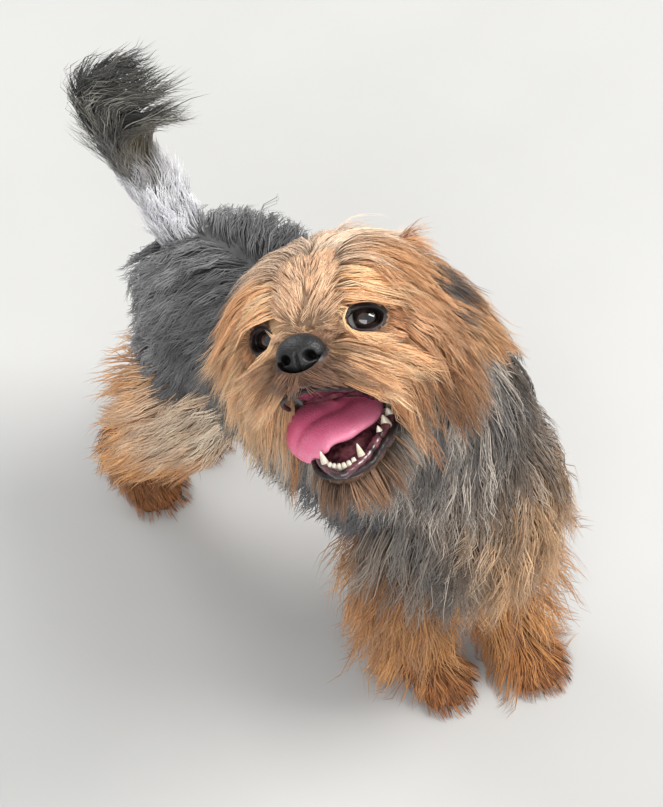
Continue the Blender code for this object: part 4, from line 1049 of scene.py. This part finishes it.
# %% Colour the skin like the coat
skin_ways = np.empty(len(mesh.vertices) * 3)
mesh.vertices.foreach_get("normal", skin_ways)
skin_ways = skin_ways.reshape(-1, 3)
skin_kinds = kinds_at(SKIN_POINTS, skin_ways, marks_of(SKIN_POINTS))
# SKIN_SHADE darkens the skin's colour: painted shade under the hair.
SKIN_SHADE = 0.45
skin_tint = tints_at(SKIN_POINTS, skin_kinds, np.full(len(SKIN_POINTS), 0.45)) * SKIN_SHADE
colour = mesh.attributes.new("tint", "FLOAT_COLOR", "POINT")
colour.data.foreach_set("color", np.concatenate((skin_tint, np.ones((len(skin_tint), 1))), 1).ravel())
print("skin tinted at", len(skin_tint), "points")

# %% [markdown]
# ## Eyes
#
# A terrier's eyes are large, dark and wet. Each is a ball with a slightly bulging cornea, whose iris and white are
# rings about its gaze, kept as a number on each point. A black wet rim runs round the slit between the lids.

# %% Eyeballs and rims
GAZE_OUT, GAZE_LEFT = 8.0, 10.0
GAZE_UP = 4.0


def eye_piece(name, side):
    """Makes a ball of polar rings: R (1 + bulge) with a bulge of cosines about the gaze; stores the angle from it."""
    gaze = Matrix.Rotation(math.radians(GAZE_OUT * side + GAZE_LEFT), 4, "Z") @ Matrix.Rotation(math.radians(-GAZE_UP), 4, "X")
    rings, sides = 40, 64
    grid = ball_grid((0, 0, 0), (EYE_RADIUS,) * 3, Matrix(), rings, sides)
    angle = np.pi * np.arange(1, rings) / rings
    grid = grid * (1 + 0.035 * np.exp(-(angle / 0.55) ** 2))[:, None, None]
    ball = placed(grid, eye_frame(side) @ gaze)
    piece = add_piece(name, *closed_tube(ball))
    ring = piece.data.attributes.new("ring", "FLOAT", "POINT")
    ring.data.foreach_set("value", np.append(np.repeat(angle, sides), (0.0, np.pi)))
    return piece


def rim_rows(side, lift, thick):
    """Leads a closed almond on the eyeball: (w cos t, -sqrt(R R - x x - z z), h sin t), drawn out at its corners."""
    t = np.linspace(0, 2 * np.pi, 49)
    x = (LID_HALF[0] + 0.0003) * np.cos(t) * 1.02
    z = (LID_HALF[2] + 0.0002) * np.sin(t)
    y = -np.sqrt((EYE_RADIUS + lift) ** 2 - x**2 - z**2)
    points = placed(np.stack((x, y, z), -1), eye_frame(side))
    return points, np.full(len(t), thick)


def ring_tube(points, radii, sides=8):
    """Carries a circle round a closed line of points: the last ring meets the first, so no cap is needed."""
    along = unit(np.roll(points[:-1], -1, 0) - np.roll(points[:-1], 1, 0))
    middle = points[:-1].mean(0)
    out = unit(points[:-1] - middle)
    out = unit(out - (out * along).sum(1, keepdims=True) * along)
    up = np.cross(along, out)
    angle = 2 * np.pi * np.arange(sides) / sides
    grid = points[:-1, None] + radii[:-1, None, None] * (out[:, None] * np.cos(angle)[None, :, None]
                                                        + up[:, None] * np.sin(angle)[None, :, None])
    rings = len(grid)
    low, here = np.arange(rings)[:, None] * sides, np.arange(sides)[None]
    high, after = (np.arange(rings)[:, None] + 1) % rings * sides, (here + 1) % sides
    faces = np.stack((low + here, low + after, high + after, high + here), -1).reshape(-1, 4)
    return grid.reshape(-1, 3), faces.tolist()


eyes = [eye_piece("eyeball_left", 1), eye_piece("eyeball_right", -1)]
eye_rims = [add_piece(name, *ring_tube(*rim_rows(side, 0.0009, 0.0010)))
            for name, side in (("eye_rim_left", 1), ("eye_rim_right", -1))]
print("eyes of", len(eyes[0].data.polygons), "faces, set", EYE_RADIUS * 2000, "mm across")

# %% [markdown]
# ## Nose
#
# The nose pad is black, damp leather with a pebbled grain, two round nostrils that open to the sides, and a groove
# down its middle. It is one ball whose surface is pushed in by smooth dents.

# %% Nose pad with its nostrils
NOSTRIL_AT = np.array((0.0044, -0.0418, -0.0100))


def nose_piece():
    """Makes an ellipsoid less dents: p - d exp(-(r / s)^2) along y for nostrils, groove and side slits."""
    points, faces = closed_tube(ball_grid(NOSE_AT, NOSE_HALF, Matrix(), 90, 120))
    x, y, z = points.T
    front = (-(y - NOSE_AT[1]) / NOSE_HALF[1]).clip(0, 1) ** 0.5
    depth = np.zeros(len(points))
    for side in (1, -1):
        away = np.hypot((x - side * NOSTRIL_AT[0]) / 0.00165, (z - NOSTRIL_AT[2]) / 0.0015)
        depth += 0.0046 * np.exp(-(away**3))
        slit = np.hypot((x - side * 0.0068) / 0.0022, (z - NOSTRIL_AT[2] + 0.0012 + 0.25 * (abs(x) - 0.0068)) / 0.0007)
        depth += 0.0022 * np.exp(-(slit**2))
    depth += 0.0010 * np.exp(-((x / 0.00055) ** 2)) * ramp(-z, 0.0075, 0.0105)
    y = y + depth * front
    x = x * (1 - 0.10 * ramp(-z, 0.008, 0.016))
    piece = add_piece("nose_pad", placed(np.stack((x, y, z), -1), HEAD), faces)
    # The depth of the dents is kept on each point, for painted shade in the nostrils, the groove and the side slits.
    pit = piece.data.attributes.new("pit", "FLOAT", "POINT")
    pit.data.foreach_set("value", (depth * front / 0.0030).clip(0, 1))
    return piece


nose = nose_piece()
print("nose of", len(nose.data.polygons), "faces")

# %% [markdown]
# ## Lips, gums and teeth
#
# Wet black lips edge the mouth. They are tubes led from corner to corner. The small lower teeth stand in a gum, the
# canines tall and bent back, and the cheek teeth show on the far side.

# %% Lips and gum
UPPER_LIP = ((0.0176, -0.005, -0.0250), (0.0171, -0.011, -0.0249), (0.0155, -0.020, -0.0240),
             (0.0125, -0.029, -0.0230), (0.0070, -0.0355, -0.0220))
LOWER_LIP = ((0.0180, -0.004, -0.0245), (0.0160, -0.012, -0.0240), (0.0125, -0.021, -0.0235),
             (0.0090, -0.0285, -0.0230))
LIP_THICKNESS = 0.0018


def lip_piece(name, half, middle, frame, thick=LIP_THICKNESS, inward=0.0):
    """Leads a lip tube through one half, its middle and the mirrored half but its corner; inward narrows it."""
    half = [(x - inward * np.sign(x), y + inward, z) for x, y, z in half]
    whole = [*half, middle, *[(-x, y, z) for x, y, z in reversed(half[1:])]]
    rows = [(*point, thick, thick) for point in whole]
    grid = tube(rows, 72, 16, across=(0, 0, 1))
    ring = np.arange(len(grid))[:, None, None]
    grid = grid + 0.00018 * np.sin(ring * 1.7) * np.array((0.0, 0.0, 1.0))
    return add_piece(name, *closed_tube(placed(grid, frame)))


lips = [lip_piece("upper_lip", UPPER_LIP, (0.0, -0.0366, -0.0212), HEAD, 0.0008),
        lip_piece("lower_lip", LOWER_LIP, (0.0, -0.0325, -0.0225), JAW, 0.0012)]
gum = lip_piece("lower_gum", [(x, y, z + 0.0012) for x, y, z in LOWER_LIP], (0.0, -0.0325, -0.0215), JAW, 0.0017, 0.0019)
print("lips of", sum(len(piece.data.polygons) for piece in lips), "faces")

# %% Teeth
TEETH = (
    (0.0068, -0.0262, -0.0155, 0.0017), (-0.0068, -0.0262, -0.0155, 0.0017), (0.0044, -0.0288, -0.0190, 0.0011),
    (0.0027, -0.0298, -0.0190, 0.0011), (0.0009, -0.0303, -0.0190, 0.0011), (-0.0009, -0.0303, -0.0190, 0.0011),
    (-0.0027, -0.0298, -0.0190, 0.0011), (-0.0044, -0.0288, -0.0190, 0.0011), (0.0148, -0.0060, -0.0195, 0.0022),
    (0.0138, -0.0105, -0.0185, 0.0022), (0.0122, -0.0150, -0.0190, 0.0018),
)
GUM_HEIGHT = -0.0250


def tooth_grid(x, y, tip, radius):
    """Makes a crown: r (1 - a s^p) about a line that leans back with s squared; incisors end blunt, others in a point."""
    s = np.linspace(0, 1, 9)[:, None, None]
    turn = 2 * np.pi * np.arange(14)[None, :, None] / 14
    height = tip - GUM_HEIGHT
    blunt, power, across = (0.38, 4.0, 0.8) if radius < 0.0012 else (0.88, 2.2, 0.85)
    reach = radius * (1 - blunt * s**power)
    px = x + reach * np.cos(turn)
    py = y + reach * across * np.sin(turn) + 0.12 * height * s**2
    grid = np.concatenate((px, py, np.broadcast_to(GUM_HEIGHT + height * s, px.shape)), -1)
    return placed(grid, JAW)


teeth = add_piece("lower_teeth", *joined([closed_tube(tooth_grid(*row)) for row in TEETH]))
print(len(TEETH), "teeth")

# %% [markdown]
# ## Tongue and palate
#
# The tongue hangs out over the right lower lip: a flat tube that turns over the lip and thins to its tip, with a
# groove along its middle. A lining for the roof of the mouth, with soft ridges, is defined here too, but it is not
# made.

# %% Tongue and palate
TONGUE = (
    (0.002, 0.006, -0.0215, 0.0102, 0.0035), (0.000, -0.003, -0.0195, 0.0126, 0.0042),
    (-0.005, -0.0085, -0.0172, 0.0138, 0.0044), (-0.0110, -0.0120, -0.0163, 0.0134, 0.0040),
    (-0.0158, -0.0146, -0.0188, 0.0114, 0.0034), (-0.0178, -0.0160, -0.0228, 0.0074, 0.0026),
)
TONGUE_ACROSS = (0.7, -0.7, 0.0)


def tongue_piece():
    """Carries an ellipse along the tongue, then sinks its middle: p - g exp(-(a / w)^2) up, a the turn from the top."""
    grid = tube(TONGUE, 90, 64, across=TONGUE_ACROSS, cap=0.8, swell=-0.0002)
    middle = grid.mean(1, keepdims=True)
    arm = grid - middle
    turn = 2 * np.pi * (np.arange(grid.shape[1]) + 0.5) / grid.shape[1]
    share = np.linspace(0, 1, grid.shape[0])[:, None, None]
    fade = np.sin(np.pi * share.clip(0, 1)) ** 0.5
    dent = np.zeros_like(turn)
    for top in (np.pi / 2, 3 * np.pi / 2):
        dent += np.exp(-((turn - top) / 0.20) ** 2)
    thin = 1 - 0.26 * dent[None, :, None] * fade
    wave = 1 + 0.03 * np.sin(share * 31 + 2 * np.cos(turn)[None, :, None])
    piece = add_piece("wet_tongue", *closed_tube(placed(middle + arm * thin * wave, JAW)))
    across = np.append((np.cos(turn)[None] + 0 * share[:, :, 0]).ravel(), (0.0, 0.0))
    edge = piece.data.attributes.new("edge", "FLOAT", "POINT")
    edge.data.foreach_set("value", abs(across))
    return piece


def palate_piece():
    """Makes the mouth's lining: its hollow drawn in a little, turned inside out, with ridges r sin(k y) across."""
    grid = tube(deck(MOUTH), 70, 40)
    ridge = 0.00035 * np.sin(grid[:, :, 1:2] * 2600)
    roof = (grid[:, :, 2:] > -0.030) * np.array((0.0, 0.0, 1.0))
    points, faces = closed_tube(placed(grid + ridge * roof, HEAD))
    return add_piece("mouth_lining", points, [face[::-1] for face in faces])


tongue = tongue_piece()
print("tongue of", len(tongue.data.polygons), "faces")

# %% [markdown]
# ## Claws
#
# Each toe ends in a short dark claw, bent down, that mostly hides in the hair of the foot.

# %% Claws
CLAW_LENGTH = 0.0062
CLAW_RADIUS = 0.0013


def claw_grid(x, y, splay):
    """Bends a cone forward and down: y - L s, z - L s s / 2, with a radius that narrows as 1 - s."""
    s = np.linspace(0, 0.94, 8)[:, None, None]
    turn = 2 * np.pi * np.arange(8)[None, :, None] / 8
    radius = CLAW_RADIUS * (1 - s) ** 0.8
    ahead = np.array((math.sin(splay), -math.cos(splay), 0.0))
    side = np.array((math.cos(splay), math.sin(splay), 0.0))
    line = np.array((x, y, 0.0058)) + ahead * CLAW_LENGTH * s - np.array((0, 0, 1)) * CLAW_LENGTH * 0.45 * s**2
    return line + radius * (side * np.cos(turn) + np.array((0, 0, 1)) * np.sin(turn))


claw_grids = []
for rows in LEGS.values():
    for across, ahead in ((-0.0088, -0.0085), (-0.0032, -0.0135), (0.0032, -0.0135), (0.0088, -0.0085)):
        x, y = rows[-1][0] + SHIFT[0] + across, rows[-1][1] - 0.008 + SHIFT[1] + ahead
        claw_grids.append(claw_grid(x, y - 0.0058, 40.0 * across))
claws = add_piece("toe_claws", *joined([closed_tube(grid) for grid in claw_grids]))
print(len(claw_grids), "claws")

# %% [markdown]
# ## Shader sums in Python
#
# A material is a graph of nodes. A small class wraps one socket, so that plain Python sums build the graph: adding
# two wrapped sockets adds a Math node. Any other node comes from one method that takes its settings and inputs.

# %% A wrapper for shader sockets
class Wire:
    """One output of a material's nodes, with arithmetic that adds Math nodes."""

    def __init__(self, tree, socket):
        self.tree, self.socket = tree, socket

    def maths(self, operation, first, second):
        return add_node(self.tree, "ShaderNodeMath", {"operation": operation}, {0: first, 1: second})

    def __add__(self, other):
        return self.maths("ADD", self, other)

    def __sub__(self, other):
        return self.maths("SUBTRACT", self, other)

    def __rsub__(self, other):
        return self.maths("SUBTRACT", other, self)

    def __mul__(self, other):
        return self.maths("MULTIPLY", self, other)

    def __truediv__(self, other):
        return self.maths("DIVIDE", self, other)

    def __pow__(self, other):
        return self.maths("POWER", self, other)

    __radd__ = __add__
    __rmul__ = __mul__


def add_node(tree, kind, settings=None, inputs=None, output=0):
    """Adds one node: sets its settings first, then its inputs by values or links, and wraps one output."""
    node = tree.nodes.new(kind)
    for name, value in (settings or {}).items():
        if name == "stops":
            ramp_of = node.color_ramp
            while len(ramp_of.elements) < len(value):
                ramp_of.elements.new(0.5)
            for element, (place, tone) in zip(ramp_of.elements, value):
                element.position = place
                element.color = (*tone, 1.0) if isinstance(tone, tuple) else (tone, tone, tone, 1.0)
        else:
            setattr(node, name, value)
    for name, value in (inputs or {}).items():
        if isinstance(value, Wire):
            tree.links.new(value.socket, node.inputs[name])
        else:
            node.inputs[name].default_value = value
    return Wire(tree, node.outputs[output])


def mixed(tree, share, first, second, how="MIX"):
    """Mixes two colours by a share, through a Mix node's colour sockets."""
    return add_node(tree, "ShaderNodeMix", {"data_type": "RGBA", "blend_type": how},
                    {0: share, 6: first, 7: second}, output=2)


def new_material(name, constants, varying):
    """Makes a material: constants go on the shader's own sockets, varying is a function that wires the rest."""
    material = bpy.data.materials.new(name)
    material.use_nodes = True
    tree = material.node_tree
    shader = tree.nodes["Principled BSDF"]
    for socket, value in constants.items():
        shader.inputs[socket].default_value = value
    for socket, wire in varying(tree).items():
        tree.links.new(wire.socket, shader.inputs[socket])
    return material


def place_on(tree, scale=1.0):
    """Gives the Object coordinates, scaled by a Mapping node."""
    spot = add_node(tree, "ShaderNodeTexCoord", output="Object")
    return add_node(tree, "ShaderNodeMapping", {}, {"Vector": spot, "Scale": (scale, scale, scale)})


def grain(tree, scale, detail=3.0, stretch=None):
    """Gives a noise value over the Object coordinates."""
    spot = place_on(tree, 1.0)
    return add_node(tree, "ShaderNodeTexNoise", {}, {"Vector": spot, "Scale": scale, "Detail": detail})


def bumped(tree, height, strength, distance):
    """Turns a height into a bumped normal."""
    return add_node(tree, "ShaderNodeBump", {}, {"Strength": strength, "Distance": distance, "Height": height})


print("shader helpers ready")

# %% [markdown]
# ## Finishes
#
# Hair is silky: a tight sheen along the strand and colour that changes from lock to lock. That colour is on the mesh
# already, as the tint of each point, and a fine noise breaks it up. Skin, eyes, nose, lips, tongue, teeth and claws
# each get their own finish, with bump at the size of the real grain.

# %% Hair and skin
def hair_colours(tree):
    """Takes the tint of each point times a slow and a fine noise, and roughens the sheen by the fine one."""
    tint = add_node(tree, "ShaderNodeAttribute", {"attribute_name": "tint"}, output="Color")
    slow, fine = grain(tree, 90.0), grain(tree, 900.0, 2.0)
    tone = add_node(tree, "ShaderNodeValToRGB", {"stops": ((0.25, 0.82), (0.75, 1.12))}, {"Fac": slow}, "Color")
    flecks = add_node(tree, "ShaderNodeValToRGB", {"stops": ((0.3, 0.86), (0.7, 1.08))}, {"Fac": fine}, "Color")
    colour = mixed(tree, 1.0, mixed(tree, 1.0, tint, tone, "MULTIPLY"), flecks, "MULTIPLY")
    return {"Base Color": colour, "Roughness": fine * 0.25 + 0.36}


def skin_colours(tree):
    """Takes the tint of each point, with painted shade where the folds sink, and folds and pores as bump."""
    tint = add_node(tree, "ShaderNodeAttribute", {"attribute_name": "tint"}, output="Color")
    fold, pore = grain(tree, 160.0, 4.0), grain(tree, 1400.0, 2.0)
    # Painted shade: the skin is darker where its folds sink.
    tone = add_node(tree, "ShaderNodeValToRGB", {"stops": ((0.3, 0.7), (0.7, 1.15))}, {"Fac": fold}, "Color")
    return {"Base Color": mixed(tree, 1.0, tint, tone, "MULTIPLY"), "Roughness": pore * 0.3 + 0.45,
            "Normal": bumped(tree, fold * 0.7 + pore * 0.3, 0.5, 0.0006)}


hair = new_material("silky_hair", {"Specular IOR Level": 0.45, "Sheen Weight": 0.12, "Sheen Roughness": 0.4},
                    hair_colours)
hide = new_material("skin_under_hair", {"Specular IOR Level": 0.3}, skin_colours)

# %% Eyes, nose and claws
def eye_colours(tree):
    """Colours rings by the angle from the gaze: pupil, streaked iris, dark edge, white with a pink corner."""
    ring = add_node(tree, "ShaderNodeAttribute", {"attribute_name": "ring"}, output="Fac")
    streak = grain(tree, 1500.0, 3.0)
    place = ring + (streak - 0.5) * 0.05
    rings = add_node(tree, "ShaderNodeValToRGB", {"stops": (
        (0.0, (0.002, 0.002, 0.002)), (0.20, (0.003, 0.002, 0.002)), (0.24, (0.030, 0.013, 0.007)),
        (0.42, (0.020, 0.010, 0.007)), (0.56, (0.007, 0.005, 0.004)), (0.61, (0.50, 0.46, 0.45)),
        (0.72, (0.90, 0.86, 0.84)), (1.0, (0.58, 0.36, 0.31)))}, {"Fac": place * 0.70}, "Color")
    return {"Base Color": rings, "Roughness": streak * 0.02 + 0.02}


def leather_colours(tree):
    """Pebbles the pad: cells of Voronoi as height, with painted shade in the nostrils and in the grooves between the
    pebbles.
    """
    pit = add_node(tree, "ShaderNodeAttribute", {"attribute_name": "pit"}, output="Fac")
    spot = place_on(tree, 1.0)
    cells = add_node(tree, "ShaderNodeTexVoronoi", {}, {"Vector": spot, "Scale": 1500.0}, "Distance")
    soft = grain(tree, 500.0)
    # Painted shade: the grooves between the pebbles are darker than their tops.
    tone = add_node(tree, "ShaderNodeValToRGB", {"stops": (
        (0.0, (0.020, 0.018, 0.019)), (0.6, (0.009, 0.008, 0.009)), (1.0, (0.003, 0.003, 0.003)))},
        {"Fac": cells}, "Color")
    # Painted shade in the nostrils, the groove and the side slits.
    colour = mixed(tree, pit, tone, (0.0015, 0.0012, 0.0012, 1.0))
    return {"Base Color": colour, "Roughness": cells * 0.25 + soft * 0.15 + 0.22,
            "Normal": bumped(tree, 1 - cells, 0.55, 0.00025)}


def claw_colours(tree):
    """Streaks dark horn with lighter lines."""
    streak = grain(tree, 700.0)
    tone = add_node(tree, "ShaderNodeValToRGB", {"stops": ((0.3, (0.016, 0.012, 0.010)), (0.7, (0.075, 0.055, 0.040)))},
                    {"Fac": streak}, "Color")
    return {"Base Color": tone, "Roughness": streak * 0.3 + 0.22, "Normal": bumped(tree, streak, 0.2, 0.0003)}


wet_eye = new_material("wet_eye", {"Specular IOR Level": 0.7, "Coat Weight": 1.0, "Coat Roughness": 0.01}, eye_colours)
leather = new_material("nose_leather", {"Specular IOR Level": 0.45}, leather_colours)
horn = new_material("dark_horn", {"Specular IOR Level": 0.5}, claw_colours)

# %% Lips, mouth, tongue and teeth
def lip_colours(tree):
    """Blotches wet near-black skin with dull brown and folds it finely."""
    blotch, fold = grain(tree, 220.0), grain(tree, 1100.0, 4.0)
    tone = add_node(tree, "ShaderNodeValToRGB", {"stops": ((0.35, (0.006, 0.005, 0.005)), (0.75, (0.035, 0.020, 0.019)))},
                    {"Fac": blotch}, "Color")
    return {"Base Color": tone, "Roughness": fold * 0.25 + 0.36, "Normal": bumped(tree, fold, 0.35, 0.0003)}


def gum_colours(tree):
    """Mottles pink gum with dark patches."""
    blotch, fold = grain(tree, 260.0), grain(tree, 1300.0, 4.0)
    tone = add_node(tree, "ShaderNodeValToRGB", {"stops": (
        (0.38, (0.020, 0.012, 0.014)), (0.55, (0.13, 0.045, 0.055)), (0.8, (0.28, 0.11, 0.12)))},
        {"Fac": blotch}, "Color")
    return {"Base Color": tone, "Roughness": fold * 0.2 + 0.14, "Normal": bumped(tree, fold, 0.3, 0.0003)}


def tongue_colours(tree):
    """Runs from deep pink in the middle to a paler edge, with fine papillae as bump."""
    edge = add_node(tree, "ShaderNodeAttribute", {"attribute_name": "edge"}, output="Fac")
    blotch = grain(tree, 140.0)
    spot = place_on(tree, 1.0)
    buds = add_node(tree, "ShaderNodeTexVoronoi", {}, {"Vector": spot, "Scale": 2100.0}, "Distance")
    tone = add_node(tree, "ShaderNodeValToRGB", {"stops": (
        (0.0, (0.84, 0.16, 0.30)), (0.65, (0.87, 0.19, 0.34)), (1.0, (0.92, 0.31, 0.45)))},
        {"Fac": edge}, "Color")
    dark = mixed(tree, blotch * 0.42, tone, (0.58, 0.070, 0.17, 1.0))
    return {"Base Color": dark, "Roughness": buds * 0.2 + blotch * 0.12 + 0.13,
            "Normal": bumped(tree, 1 - buds, 0.45, 0.00022)}


def tooth_colours(tree):
    """Yellows the enamel in soft patches."""
    blotch = grain(tree, 420.0)
    tone = add_node(tree, "ShaderNodeValToRGB", {"stops": ((0.3, (0.66, 0.56, 0.40)), (0.7, (0.84, 0.79, 0.68)))},
                    {"Fac": blotch}, "Color")
    return {"Base Color": tone, "Roughness": blotch * 0.15 + 0.12, "Normal": bumped(tree, blotch, 0.15, 0.0002)}


wet_lip = new_material("wet_lip", {"Specular IOR Level": 0.4, "Coat Weight": 0.10, "Coat Roughness": 0.20}, lip_colours)
wet_gum = new_material("wet_gum", {"Specular IOR Level": 0.6, "Coat Weight": 0.5, "Coat Roughness": 0.08}, gum_colours)
wet_pink = new_material("wet_tongue", {"Subsurface Weight": 0.15, "Subsurface Scale": 0.002, "Coat Weight": 0.5,
                                       "Coat Roughness": 0.1}, tongue_colours)
enamel = new_material("enamel", {"Specular IOR Level": 0.6, "Coat Weight": 0.4, "Coat Roughness": 0.05}, tooth_colours)
print(len(bpy.data.materials), "materials")

# %% [markdown]
# ## Dressing the pieces
#
# Each piece gets its finish and the body that carries it. The skin
# replaces the flesh solids, whose locks the hair stands for, and the face pieces replace their own solids.

# %% Give each piece its finish and body
def dress(piece, material):
    """Sets a piece's only material and lets it ride on the body."""
    piece.data.materials.clear()
    piece.data.materials.append(material)
    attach(piece, "root")


dress(skin, hide)
skin.data.materials.append(wet_gum)
skin.data.materials.append(wet_lip)
for piece in tan_coat:
    dress(piece, hair)
for piece in grey_coat:
    dress(piece, hair)
for piece in eyes:
    dress(piece, wet_eye)
for piece in eye_rims + lips:
    dress(piece, wet_lip)
dress(gum, wet_gum)
dress(nose, leather)
dress(tongue, wet_pink)
dress(teeth, enamel)
dress(claws, horn)

FLESH = ["head", "jaw", "ear_left", "ear_right", "neck", "torso", "tail", "leg_fore_left", "leg_fore_right",
         "leg_hind_left", "leg_hind_right"]
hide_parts(*FLESH)
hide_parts("eye_left")
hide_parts("eye_right")
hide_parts("nose")
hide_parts("tongue")
print("dressed", len(tan_coat) + len(grey_coat) + 11, "pieces")

# %% Line the mouth and the lids with wet skin
centres = np.empty(len(mesh.polygons) * 3)
mesh.polygons.foreach_get("center", centres)
centres = centres.reshape(-1, 3)
face_ways = np.empty(len(mesh.polygons) * 3)
mesh.polygons.foreach_get("normal", face_ways)
inner = bare_at(centres, face_ways.reshape(-1, 3)) & (centres[:, 2] > 0.1)
deep = in_frame(centres, HEAD)[:, 2] < -0.016
mesh.polygons.foreach_set("material_index", np.where(inner, np.where(deep, 1, 2), 0).astype(np.int32))
print("wet faces:", int(inner.sum()))

# %% [markdown]
# ## Floor and light
#
# A plain pale floor and broad soft lights, as in a studio: a large key from the upper right, a fill from the left and
# a low sky over all, so that the hair keeps its soft sheen and the eyes catch one clear light.

# %% Floor, lights and sky
def add_floor():
    """Lays a wide flat floor with a faint mottle."""
    floor = add_piece("floor", [(-4, -4, 0), (4, -4, 0), (4, 4, 0), (-4, 4, 0)], [[0, 1, 2, 3]], smooth=False)

    def floor_colours(tree):
        mottle = grain(tree, 6.0, 5.0)
        tone = add_node(tree, "ShaderNodeValToRGB", {"stops": ((0.3, (0.52, 0.515, 0.50)), (0.7, (0.55, 0.545, 0.53)))},
                        {"Fac": mottle}, "Color")
        return {"Base Color": tone, "Roughness": mottle * 0.2 + 0.6}

    floor.data.materials.append(new_material("pale_floor", {"Specular IOR Level": 0.2}, floor_colours))
    return floor


def add_light(name, place, aim, size, power, tone):
    """Hangs a square soft light at a place, turned to its aim."""
    data = bpy.data.lights.new(name, "AREA")
    data.size, data.energy, data.color = size, power, tone
    lamp = bpy.data.objects.new(name, data)
    lamp.location = place
    lamp.rotation_euler = (Vector(aim) - Vector(place)).to_track_quat("-Z", "Y").to_euler()
    bpy.context.scene.collection.objects.link(lamp)
    return lamp


floor = add_floor()
add_light("key", (0.7, -0.8, 1.7), (0, 0, 0.15), 0.9, 34.0, (1.0, 0.99, 0.97))
add_light("fill", (-1.5, -0.9, 1.3), (0, 0, 0.15), 1.4, 20.0, (0.97, 0.98, 1.0))
add_light("back", (0.1, 1.6, 1.3), (0, 0, 0.2), 1.0, 16.0, (1.0, 1.0, 1.0))
world = bpy.data.worlds.new("sky")
world.use_nodes = True
world.node_tree.nodes["Background"].inputs["Color"].default_value = (0.96, 0.98, 1.0, 1.0)
world.node_tree.nodes["Background"].inputs["Strength"].default_value = 0.60
bpy.context.scene.world = world
bpy.context.scene.view_settings.view_transform = "Standard"
